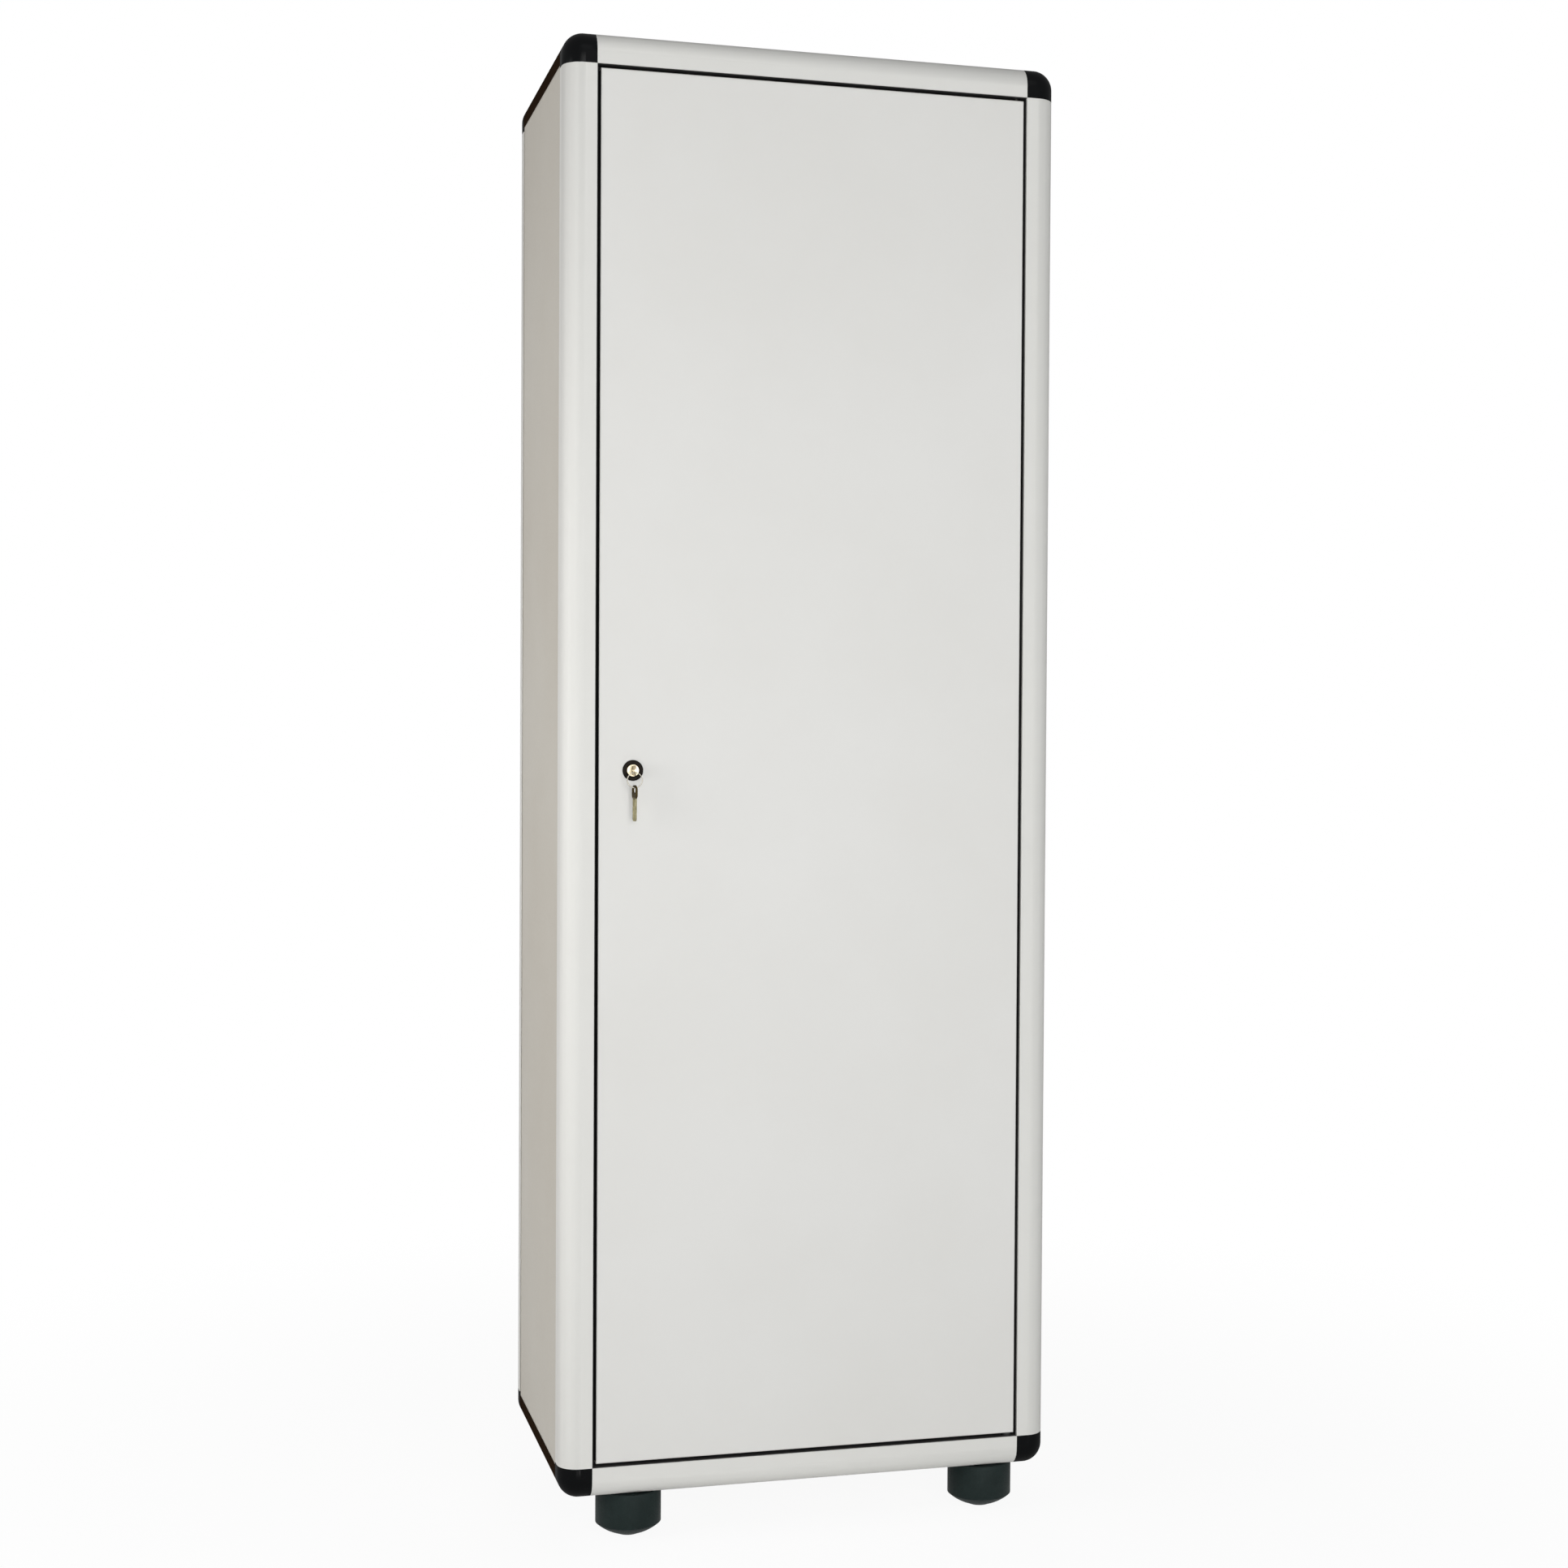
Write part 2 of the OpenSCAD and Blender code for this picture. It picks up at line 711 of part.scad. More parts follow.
// Folded tray: a face, four returns and a lip round its open rear
module door_skin() {
  color(door_colour) difference() {
    translate([door_mid_x, door_face, frame_mid]) difference() {
      intersection() {
        translate([0, 0, -door_h / 2]) linear_extrude(door_h) bent_section(door_w, door_t);
        translate([-door_w / 2, 0, 0])
          rotate([90, 0, 90])
            linear_extrude(door_w) rotate(90) mirror([0, 1]) bent_section(door_h, door_t);
      }
      translate([-door_w / 2 + skin_t, skin_t, -door_h / 2 + skin_t])
        cube([door_w - 2 * skin_t, door_t - 2 * skin_t, door_h - 2 * skin_t]);
      translate([-door_w / 2 + skin_lip, skin_t, -door_h / 2 + skin_lip])
        cube([door_w - 2 * skin_lip, door_t, door_h - 2 * skin_lip]);
    }
    translate([pivot_x, pivot_y, door_bottom - cut])
      cylinder(r = pin_r + fit, h = door_h + 2 * cut, $fn = small_fn);
    at_lock() cylinder(r = lock_r + fit, h = skin_t + 2 * cut, center = true, $fn = small_fn);
  }
}

// Flat sheet that closes the door behind its lips
module door_liner() {
  w = door_w - 2 * skin_t - 2 * fit;
  h = door_h - 2 * skin_t - 2 * fit;
  color(door_colour) difference() {
    translate([door_mid_x - w / 2, door_face + liner_y, frame_mid - h / 2])
      cube([w, liner_t, h]);
    at_lock() cylinder(r = lock_r + run, h = door_t + cut, $fn = small_fn);
  }
}

// Channel between the skin and the liner
module door_stiffener() {
  h = door_h - 2 * stiffener_clear;
  color(zinc_colour)
    translate([door_mid_x - stiffener_w / 2, door_face + skin_t, frame_mid - h / 2]) difference() {
      cube([stiffener_w, block_t, h]);
      translate([liner_t, liner_t, -cut])
        cube([stiffener_w - 2 * liner_t, block_t, h + 2 * cut]);
    }
}

// Steel block in the door's corner, drawn at the lower pivot
module pivot_block() {
  difference() {
    translate([door_right - skin_t - block_w, door_face + skin_t, door_bottom + skin_t])
      cube([block_w, block_t, block_h]);
    translate([pivot_x, pivot_y, door_bottom])
      cylinder(r = pin_r + press_fit, h = skin_t + pin_seat, $fn = small_fn);
  }
}

module pivot_block_bottom() {
  color(zinc_colour) pivot_block();
}

module pivot_block_top() {
  color(zinc_colour) flip_height() pivot_block();
}

module pivot_pin() {
  reach = door_gap + profile_wall + bush_l;
  translate([pivot_x, pivot_y, door_bottom - reach])
    cylinder(r = pin_r, h = reach + skin_t + pin_seat - fit, $fn = small_fn);
}

module pivot_pins() {
  color(zinc_colour) {
    pivot_pin();
    flip_height() pivot_pin();
  }
}

// Lock

// Head and threaded body of the lock, with the plug's bore
module lock_housing() {
  edge = 0.8;
  color(black_nickel_colour) at_lock() difference() {
    rotate_extrude($fn = round_fn) polygon([
      [0, -head_t], [head_r - edge, -head_t], [head_r, -head_t + edge], [head_r, 0],
      [lock_r, 0], [lock_r, lock_l], [0, lock_l]
    ]);
    translate([0, 0, -head_t - cut])
      cylinder(r = plug_r + bore_fit, h = head_t + lock_l + 2 * cut, $fn = small_fn);
  }
}

module lock_nut() {
  color(zinc_colour) at_lock() translate([0, 0, skin_t]) difference() {
    cylinder(d = lock_nut_af / cos(30), h = lock_nut_t, $fn = 6);
    translate([0, 0, -cut])
      cylinder(r = lock_r + press_fit, h = lock_nut_t + 2 * cut, $fn = small_fn);
  }
}

// Turning plug: a keyway in front, a square tail and a stud behind
module lock_plug() {
  color(brass_colour) at_lock() difference() {
    union() {
      translate([0, 0, -head_t]) cylinder(r = plug_r, h = head_t + cam_front, $fn = round_fn);
      translate([-tail_w / 2, -tail_w / 2, cam_front - cut]) cube([tail_w, tail_w, cam_t + cut]);
      cylinder(r = stud_r, h = stud_end, $fn = small_fn);
    }
    translate([-key_slot_w / 2, -key_slot_h / 2, -head_t - cut])
      cube([key_slot_w, key_slot_h, key_depth + cut]);
  }
}

// Arm that turns behind the strike plate, drawn hanging down
module lock_cam() {
  tip = cam_reach - cam_w / 2;
  hole = tail_w + 2 * fit;
  color(zinc_colour) at_lock() translate([0, 0, cam_front]) difference() {
    linear_extrude(cam_t) difference() {
      union() {
        circle(r = cam_hub_r, $fn = small_fn);
        translate([-cam_w / 2, 0]) square([cam_w, tip]);
        translate([0, tip]) circle(r = cam_w / 2, $fn = small_fn);
      }
      square(hole, center = true);
    }
  }
}

module cam_nut() {
  color(zinc_colour) at_lock() translate([0, 0, tail_end]) difference() {
    cylinder(d = cam_nut_af / cos(30), h = cam_nut_t, $fn = 6);
    translate([0, 0, -cut])
      cylinder(r = stud_r + press_fit, h = cam_nut_t + 2 * cut, $fn = small_fn);
  }
}

// Keys

// Key blank in its own plane: the bow's inner end at the origin, the blade along +X
module key_outline() {
  notches = [0.30, 0.48, 0.66, 0.84];
  notch_r = 1.6;
  notch_out = 0.6;
  blade_root = 3;
  end_r = bow_w / 2;
  difference() {
    union() {
      for (x = [-end_r, end_r - bow_l]) {
        translate([x, 0]) circle(r = end_r, $fn = round_fn);
      }
      translate([end_r - bow_l, -end_r]) square([bow_l - 2 * end_r, bow_w]);
      translate([-blade_root, -blade_h / 2]) square([blade_l + blade_root, blade_h]);
    }
    translate([bow_hole_in - bow_l, 0]) circle(r = bow_hole_r, $fn = small_fn);
    for (place = notches) {
      translate([blade_l * place, blade_h / 2 + notch_out]) circle(r = notch_r, $fn = 4);
    }
  }
}

// The blade lies in the plug's keyway and the bow stands out, edge upwards
module key_in_lock() {
  color(brass_colour)
    translate([lock_x - key_t / 2, door_face - head_t - bow_clear, frame_mid])
      rotate([90, 0, 90])
        linear_extrude(key_t) key_outline();
}

module key_ring() {
  color(nickel_colour)
    translate([lock_x, door_face - hole_out, frame_mid - ring_mid])
      rotate([90, 0, 0])
        rotate_extrude($fn = round_fn) translate([ring_r, 0]) circle(r = wire_r, $fn = small_fn);
}

// Hangs by its hole on the bottom of the ring, under the key in the lock
module spare_key() {
  hole_from_blade = bow_l - bow_hole_in;
  color(brass_colour)
    translate([lock_x, door_face - hole_out, frame_mid - spare_hole - hole_from_blade])
      rotate(spare_turn)
        translate([-key_t / 2, 0, 0])
          rotate([90, 0, 90])
            linear_extrude(key_t) rotate(-90) key_outline();
}

post(0, 0);  // post_front_left
post(1, 0);  // post_front_right
post(0, 1);  // post_rear_left
post(1, 1);  // post_rear_right
cross_rail(0, 1);  // rail_front_top
cross_rail(0, 0);  // rail_front_bottom
cross_rail(1, 1);  // rail_rear_top
cross_rail(1, 0);  // rail_rear_bottom
depth_rail(0, 1);  // rail_left_top
depth_rail(0, 0);  // rail_left_bottom
depth_rail(1, 1);  // rail_right_top
depth_rail(1, 0);  // rail_right_bottom
corner_cap(0, 0, 1);  // cap_front_left_top
corner_cap(1, 0, 1);  // cap_front_right_top
corner_cap(0, 1, 1);  // cap_rear_left_top
corner_cap(1, 1, 1);  // cap_rear_right_top
corner_cap(0, 0, 0);  // cap_front_left_bottom
corner_cap(1, 0, 0);  // cap_front_right_bottom
corner_cap(0, 1, 0);  // cap_rear_left_bottom
corner_cap(1, 1, 0);  // cap_rear_right_bottom
side_panel(0);  // side_panel_left
side_panel(1);  // side_panel_right
rear_panel();
top_panel();
floor_panel();
shelf(1);  // shelf_1
shelf(2);  // shelf_2
shelf(3);  // shelf_3
shelf(4);  // shelf_4
shelf_tracks(0);  // shelf_tracks_left
shelf_tracks(1);  // shelf_tracks_right
shelf_clips();
door_seal();
strike_plate();
hinge_bush_top();
hinge_bush_bottom();
thrust_washer();
foot_bar(-1);  // foot_bar_left
foot_bar(1);  // foot_bar_right
foot(0, 0);  // foot_front_left
foot(1, 0);  // foot_front_right
foot(0, 1);  // foot_rear_left
foot(1, 1);  // foot_rear_right
foot_pads();
foot_bolts();
door_skin();
door_liner();
door_stiffener();
pivot_block_top();
pivot_block_bottom();
pivot_pins();
lock_housing();
lock_nut();
lock_plug();
lock_cam();
cam_nut();
key_in_lock();
key_ring();
spare_key();
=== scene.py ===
"""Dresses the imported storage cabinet: paints, mouldings, seal, plated fittings, lock and keys.

Lengths are in millimetres in the cabinet's own axes (+X to its right, +Y into its depth, +Z up)
until they go into a mesh, which is in metres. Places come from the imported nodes' boxes.
"""

from __future__ import annotations

import json
import logging
import math
from dataclasses import dataclass, field
from enum import Enum

import bmesh
import bpy
import numpy as np
from mathutils import Matrix, Vector
from mathutils.geometry import tessellate_polygon

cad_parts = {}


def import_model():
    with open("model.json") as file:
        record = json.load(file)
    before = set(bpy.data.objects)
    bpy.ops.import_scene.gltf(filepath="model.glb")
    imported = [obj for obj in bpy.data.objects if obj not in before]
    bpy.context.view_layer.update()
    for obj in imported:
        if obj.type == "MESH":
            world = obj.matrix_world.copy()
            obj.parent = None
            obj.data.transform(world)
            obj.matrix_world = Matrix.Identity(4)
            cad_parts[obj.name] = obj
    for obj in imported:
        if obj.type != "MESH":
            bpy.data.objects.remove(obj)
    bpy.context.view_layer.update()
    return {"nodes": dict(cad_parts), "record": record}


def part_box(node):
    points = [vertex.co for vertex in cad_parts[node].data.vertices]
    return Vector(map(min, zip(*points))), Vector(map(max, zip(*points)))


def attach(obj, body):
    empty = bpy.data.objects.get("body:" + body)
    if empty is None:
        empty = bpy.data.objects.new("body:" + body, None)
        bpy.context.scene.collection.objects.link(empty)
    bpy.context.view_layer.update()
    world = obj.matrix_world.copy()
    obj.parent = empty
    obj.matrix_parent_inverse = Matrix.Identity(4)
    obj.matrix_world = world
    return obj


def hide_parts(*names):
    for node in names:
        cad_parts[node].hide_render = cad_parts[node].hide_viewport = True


log = logging.getLogger("cabinet")

MM = 0.001

# Points closer than this are one point, in metres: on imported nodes, and on new pieces.
NODE_WELD = 0.00001
PIECE_WELD = 0.000002

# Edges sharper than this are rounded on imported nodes, and stay sharp on new pieces.
NODE_EDGE_ANGLE = math.radians(35.0)
PIECE_EDGE_ANGLE = math.radians(32.0)

# The range of a noise that the colour clouds use, and the one that the gloss uses.
CLOUD_RANGE = (0.35, 0.65)
GRAIN_RANGE = (0.3, 0.7)

# The size of the slow waves in a sheet, in mm.
SHEET_WAVE_MM = 220.0


class Slot(Enum):
    """The record's material slots."""

    FRAME = "frame_paint"
    PANEL = "panel_paint"
    DOOR = "door_paint"
    DEPTH_RAIL = "depth_rail_paint"
    CAP = "cap_plastic"
    FOOT = "foot_plastic"
    RUBBER = "rubber"
    ZINC = "zinc"
    NICKEL = "nickel"
    BLACK_NICKEL = "black_nickel"
    BRASS = "brass"
    NYLON = "nylon"


class Body(Enum):
    """The bodies that pieces ride on."""

    CABINET = "cabinet"
    DOOR = "door"
    LOCK = "lock"
    RING = "ring"
    HANGING_KEY = "hanging_key"


def linear(hex_code: str) -> tuple[float, float, float, float]:
    """Turns an sRGB hex colour into linear light.

    Args:
        hex_code: Six hex digits after a hash.

    Returns:
        Red, green, blue and an alpha of one.
    """
    raw = np.array([int(hex_code[i : i + 2], 16) / 255 for i in (1, 3, 5)])
    light = np.where(raw <= 0.04045, raw / 12.92, ((raw + 0.055) / 1.055) ** 2.4)
    return (*light.tolist(), 1.0)


def add_node(
    tree: bpy.types.NodeTree,
    kind: str,
    settings: dict[str | int, object] | None = None,
    links: dict[str | int, bpy.types.NodeSocket] | None = None,
) -> bpy.types.Node:
    """Adds a node, sets it and links its inputs.

    Args:
        tree: The node tree.
        kind: The node's Blender type.
        settings: Values by property or by input name or number.
        links: Source sockets by input name or number.

    Returns:
        The new node.
    """
    node = tree.nodes.new(kind)
    for key, value in (settings or {}).items():
        if isinstance(key, str) and hasattr(node, key):
            setattr(node, key, value)
    for key, value in (settings or {}).items():
        if isinstance(key, int) or not hasattr(node, key):
            node.inputs[key].default_value = value
    for key, source in (links or {}).items():
        tree.links.new(source, node.inputs[key])
    return node


def seen_plainly(tree: bpy.types.NodeTree) -> bpy.types.NodeSocket:
    """Tells the rays that see a surface plainly from the rays that light the cabinet.

    Args:
        tree: The node tree.

    Returns:
        A socket that is 1 for camera, transmission and glossy rays, and 0 for the others.
    """
    rays = add_node(tree, "ShaderNodeLightPath").outputs
    seen = rays["Is Camera Ray"]
    for other in ("Is Transmission Ray", "Is Glossy Ray"):
        seen = add_node(
            tree, "ShaderNodeMath", {"operation": "MAXIMUM"}, {0: seen, 1: rays[other]}
        ).outputs[0]
    return seen


def frequency(size_mm: float) -> float:
    """Gives the noise scale, in cycles per metre, of a feature of that size."""
    return 1.0 / (size_mm * MM)


def empty_tree(owner: bpy.types.Material | bpy.types.World) -> bpy.types.NodeTree:
    """Turns on an owner's nodes and clears them.

    Args:
        owner: The material or the world.

    Returns:
        Its empty node tree.
    """
    owner.use_nodes = True
    owner.node_tree.nodes.clear()
    return owner.node_tree


def add_object(name: str, data: bpy.types.ID) -> bpy.types.Object:
    """Adds an object to the scene, at the origin.

    Args:
        name: The object's name.
        data: Its mesh, lamp or camera data.

    Returns:
        The object.
    """
    made = bpy.data.objects.new(name, data)
    bpy.context.scene.collection.objects.link(made)
    return made


@dataclass(frozen=True)
class Finish:
    """A surface finish: its colours, its gloss and the grain that its making left.

    Attributes:
        name: The material's name.
        base: The main colour.
        tint: The colour that the clouding and the dust bring in.
        metallic: One for bare or plated metal.
        roughness: The middle of the roughness.
        roughness_span: How far the roughness wanders on each side.
        cloud_mm: The size of the slow colour clouds.
        cloud_amount: How much of the tint the clouds bring in.
        grain_mm: The size of the surface grain.
        grain_depth_mm: The height of that grain.
        stretch: How much longer the grain is along each axis.
        wave_depth_mm: The height of the slow waves in the sheet.
        coat: The weight of a clear gloss layer.
        coat_roughness: The roughness of that layer.
        specular: The level of the plain reflection of a non-metal.
    """

    name: str
    base: str
    tint: str
    metallic: float = 0.0
    roughness: float = 0.4
    roughness_span: float = 0.05
    cloud_mm: float = 180.0
    cloud_amount: float = 0.2
    grain_mm: float = 3.0
    grain_depth_mm: float = 0.02
    stretch: tuple[float, float, float] = (1.0, 1.0, 1.0)
    wave_depth_mm: float = 0.0
    coat: float = 0.0
    coat_roughness: float = 0.12
    specular: float = 0.5

    def material(self) -> bpy.types.Material:
        """Builds the node material: clouds for the colour, fine noise for gloss and grain.

        Returns:
            The material.
        """
        made = bpy.data.materials.new(self.name)
        tree = empty_tree(made)
        place = add_node(tree, "ShaderNodeTexCoord").outputs["Object"]
        squeezed = add_node(
            tree,
            "ShaderNodeMapping",
            {"Scale": tuple(1 / s for s in self.stretch)},
            {"Vector": place},
        ).outputs["Vector"]
        clouds = add_node(
            tree,
            "ShaderNodeTexNoise",
            {"Scale": frequency(self.cloud_mm), "Detail": 3.0, "Roughness": 0.55},
            {"Vector": place},
        ).outputs["Fac"]
        cloud_share = add_node(
            tree,
            "ShaderNodeMapRange",
            {
                "From Min": CLOUD_RANGE[0],
                "From Max": CLOUD_RANGE[1],
                "To Max": self.cloud_amount,
            },
            {"Value": clouds},
        ).outputs["Result"]
        colour = add_node(
            tree,
            "ShaderNodeMix",
            {"data_type": "RGBA", 6: linear(self.base), 7: linear(self.tint)},
            {0: cloud_share},
        ).outputs[2]
        grain = add_node(
            tree,
            "ShaderNodeTexNoise",
            {"Scale": frequency(self.grain_mm), "Detail": 2.0, "Roughness": 0.5},
            {"Vector": squeezed},
        ).outputs["Fac"]
        gloss = add_node(
            tree,
            "ShaderNodeMapRange",
            {
                "From Min": GRAIN_RANGE[0],
                "From Max": GRAIN_RANGE[1],
                "To Min": self.roughness - self.roughness_span,
                "To Max": self.roughness + self.roughness_span,
            },
            {"Value": grain},
        ).outputs["Result"]
        normal = add_node(
            tree,
            "ShaderNodeBump",
            {"Strength": 1.0, "Distance": self.grain_depth_mm * MM},
            {"Height": grain},
        ).outputs["Normal"]
        if self.wave_depth_mm:
            waves = add_node(
                tree,
                "ShaderNodeTexNoise",
                {"Scale": frequency(SHEET_WAVE_MM), "Detail": 1.0, "Roughness": 0.4},
                {"Vector": place},
            ).outputs["Fac"]
            normal = add_node(
                tree,
                "ShaderNodeBump",
                {"Strength": 1.0, "Distance": self.wave_depth_mm * MM},
                {"Height": waves, "Normal": normal},
            ).outputs["Normal"]
        shader = add_node(
            tree,
            "ShaderNodeBsdfPrincipled",
            {
                "Metallic": self.metallic,
                "Coat Weight": self.coat,
                "Coat Roughness": self.coat_roughness,
                "Specular IOR Level": self.specular,
            },
            {"Base Color": colour, "Roughness": gloss, "Normal": normal},
        )
        add_node(tree, "ShaderNodeOutputMaterial", links={"Surface": shader.outputs["BSDF"]})
        return made


# Baked powder coat on the aluminium profiles: smooth, semigloss, a trace of orange peel.
PROFILE_POWDER_COAT = Finish(
    "profile_powder_coat",
    base="#DEDEDA",
    tint="#D6D6D1",
    roughness=0.46,
    roughness_span=0.04,
    cloud_mm=260.0,
    grain_mm=2.6,
    grain_depth_mm=0.012,
    specular=0.0,
    coat=0.32,
    coat_roughness=0.44,
)

# Powder coat on the door and the shelves: the frame's grey, over sheet that isn't dead flat.
DOOR_POWDER_COAT = Finish(
    "door_powder_coat",
    base="#DEDEDB",
    tint="#D6D5D0",
    roughness=0.50,
    roughness_span=0.05,
    specular=0.35,
    cloud_mm=320.0,
    cloud_amount=0.35,
    grain_mm=2.8,
    grain_depth_mm=0.014,
    wave_depth_mm=0.35,
)

# Powder coat on the side, rear, top and floor sheets: a warm mid grey, a little less glossy.
CARCASS_POWDER_COAT = Finish(
    "carcass_powder_coat",
    base="#C6C2B8",
    tint="#BDB7AB",
    roughness=0.55,
    roughness_span=0.05,
    specular=0.2,
    cloud_mm=380.0,
    cloud_amount=0.6,
    grain_mm=2.8,
    grain_depth_mm=0.014,
    wave_depth_mm=0.35,
)

# Black-brown satin coat of the depth rails.
BLACK_BROWN_COAT = Finish(
    "black_brown_coat",
    base="#2A1F16",
    tint="#382B20",
    roughness=0.70,
    specular=0.0,
    grain_mm=2.6,
    grain_depth_mm=0.015,
)

# Moulded black ABS of the corner caps, spark-eroded mould: a matt body under a thin satin skin,
# which stays dark where it is seen along the surface.
BLACK_ABS = Finish(
    "black_abs",
    base="#050607",
    tint="#0C0D0F",
    roughness=0.60,
    roughness_span=0.06,
    specular=0.0,
    coat=0.13,
    coat_roughness=0.28,
    cloud_mm=30.0,
    grain_mm=1.4,
    grain_depth_mm=0.02,
)

# Glass-filled polypropylene of the feet: green-black and matt, with a coarser mould texture.
GREEN_BLACK_PP = Finish(
    "green_black_pp",
    base="#172120",
    tint="#202B2A",
    specular=0.14,
    roughness=0.62,
    roughness_span=0.08,
    cloud_mm=24.0,
    cloud_amount=0.5,
    grain_mm=1.6,
    grain_depth_mm=0.035,
)

# EPDM rubber of the seal and the foot pads: black, matt, with a greyish bloom.
EPDM_RUBBER = Finish(
    "epdm_rubber",
    base="#0E0E0E",
    tint="#1C1B1A",
    roughness=0.78,
    roughness_span=0.08,
    cloud_mm=18.0,
    cloud_amount=0.6,
    grain_mm=1.2,
    grain_depth_mm=0.03,
)

# Bright zinc plate on pressed steel: soft grey metal with rolling marks along its length.
ZINC_PLATE = Finish(
    "zinc_plate",
    base="#B9BDC0",
    tint="#9FA6AC",
    metallic=1.0,
    roughness=0.40,
    roughness_span=0.10,
    cloud_mm=14.0,
    cloud_amount=0.6,
    grain_mm=0.9,
    grain_depth_mm=0.012,
    stretch=(1.0, 1.0, 12.0),
)

# Nickel plate of the split ring, dulled by the keys that slide on it.
NICKEL_PLATE = Finish(
    "nickel_plate",
    base="#8E8A80",
    tint="#6E6A62",
    metallic=1.0,
    roughness=0.34,
    roughness_span=0.06,
    cloud_mm=6.0,
    cloud_amount=0.4,
    grain_mm=0.6,
    grain_depth_mm=0.004,
)

# Black nickel plate of the lock's head, set near black so that it also carries the shade round
# the plug: partly the plate's own dark, partly painted shade. A dark mirror with a brown cast.
BLACK_NICKEL_WITH_SHADE = Finish(
    "black_nickel_with_painted_shade",
    base="#0F0D0B",
    tint="#0A0908",
    metallic=1.0,
    roughness=0.26,
    roughness_span=0.05,
    cloud_mm=5.0,
    cloud_amount=0.5,
    grain_mm=0.6,
    grain_depth_mm=0.003,
)

# Brushed nickel silver of the lock's plug: a warm metal that shows the lamp as cream.
NICKEL_SILVER = Finish(
    "nickel_silver",
    base="#B8AD96",
    tint="#A0947C",
    metallic=1.0,
    roughness=0.30,
    roughness_span=0.06,
    cloud_mm=4.0,
    cloud_amount=0.3,
    grain_mm=0.6,
    grain_depth_mm=0.003,
)

# Handled brass of the key blades, with the nickel worn thin: olive-yellow.
WORN_BRASS = Finish(
    "worn_brass",
    base="#A39C7C",
    tint="#787255",
    metallic=1.0,
    roughness=0.36,
    roughness_span=0.10,
    cloud_mm=5.0,
    cloud_amount=0.7,
    grain_mm=0.7,
    grain_depth_mm=0.006,
)

# Dark brown brass of the hanging key's bow: painted shade, darker than the bow of the same key
# in the lock, which is nickel silver.
SHADED_BOW_BRASS = Finish(
    "shaded_bow_brass",
    base="#463A1E",
    tint="#2C2412",
    metallic=1.0,
    roughness=0.42,
    roughness_span=0.10,
    cloud_mm=4.0,
    cloud_amount=0.8,
    grain_mm=0.7,
    grain_depth_mm=0.008,
)

# Black nylon of the pivot bushes and the washer: moulded, satin, a little paler where it rubs.
BLACK_NYLON = Finish(
    "black_nylon",
    base="#121212",
    tint="#242424",
    roughness=0.48,
    specular=0.3,
    cloud_mm=10.0,
    grain_mm=1.2,
    grain_depth_mm=0.01,
)

# Dark steel of the pivot pins: painted shade, which keeps the pin seen in the door's top gap as
# dark as the gap's shadow, with darker clouds at random.
SHADE_DARK_PIN_STEEL = Finish(
    "shade_dark_pin_steel",
    base="#4A4845",
    tint="#2E2C29",
    metallic=1.0,
    roughness=0.35,
    roughness_span=0.10,
    cloud_mm=6.0,
    cloud_amount=0.7,
    grain_mm=0.8,
    grain_depth_mm=0.006,
)

# Each slot's usual finish.
FINISH_OF_SLOT = {
    Slot.FRAME: PROFILE_POWDER_COAT,
    Slot.PANEL: CARCASS_POWDER_COAT,
    Slot.DOOR: DOOR_POWDER_COAT,
    Slot.DEPTH_RAIL: BLACK_BROWN_COAT,
    Slot.CAP: BLACK_ABS,
    Slot.FOOT: GREEN_BLACK_PP,
    Slot.RUBBER: EPDM_RUBBER,
    Slot.ZINC: ZINC_PLATE,
    Slot.NICKEL: NICKEL_PLATE,
    Slot.BLACK_NICKEL: BLACK_NICKEL_WITH_SHADE,
    Slot.BRASS: NICKEL_SILVER,
    Slot.NYLON: BLACK_NYLON,
}

# Nodes that have a finish of their own, other than their slot's usual one.
# The pivot pins' dark steel is painted shade for the door's top gap.
FINISH_OF_NODE = {"pivot_pins": SHADE_DARK_PIN_STEEL}

# Nodes whose folded, extruded or moulded edges are a little round, with the radius in mm.
EDGE_RADIUS_MM = {
    "foot_front": 0.8,
    "foot_rear": 0.8,
    "post_": 0.5,
    "rail_": 0.5,
    "cap_": 0.4,
    "shelf_": 0.5,
    "side_panel": 0.2,
    "door_liner": 0.3,
    "door_seal": 0.4,
    "strike_plate": 0.3,
    "foot_bar": 0.5,
    "pivot_block": 0.5,
    "lock_cam": 0.4,
    "lock_plug": 0.2,
    "hinge_bush": 0.2,
    "thrust_washer": 0.2,
}


def soften(node: bpy.types.Object, radius_mm: float) -> None:
    """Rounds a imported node's sharp edges with modifiers, which leave its mesh as it is.

    Args:
        node: The node's object.
        radius_mm: The radius of its edges.
    """
    weld = node.modifiers.new("weld", "WELD")
    weld.merge_threshold = NODE_WELD
    bevel = node.modifiers.new("soft_edges", "BEVEL")
    bevel.limit_method = "ANGLE"
    bevel.angle_limit = NODE_EDGE_ANGLE
    bevel.width = radius_mm * MM
    bevel.segments = 2
    bevel.harden_normals = True


@dataclass
class Finishes:
    """Makes each finish's material once and hands it out."""

    made: dict[Finish, bpy.types.Material] = field(default_factory=dict)

    def of(self, slot: Slot, finish: Finish | None = None) -> bpy.types.Material:
        """Gives the material of a finish, and makes it the first time.

        Args:
            slot: The record's material slot.
            finish: The finish, where it isn't the slot's usual one.

        Returns:
            The material.
        """
        wanted = finish or FINISH_OF_SLOT[slot]
        if wanted not in self.made:
            self.made[wanted] = wanted.material()
        return self.made[wanted]

    def dress_node(self, node: bpy.types.Object, name: str, slot: Slot) -> None:
        """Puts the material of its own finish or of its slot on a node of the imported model."""
        node.data.materials.clear()
        node.data.materials.append(self.of(slot, FINISH_OF_NODE.get(name)))


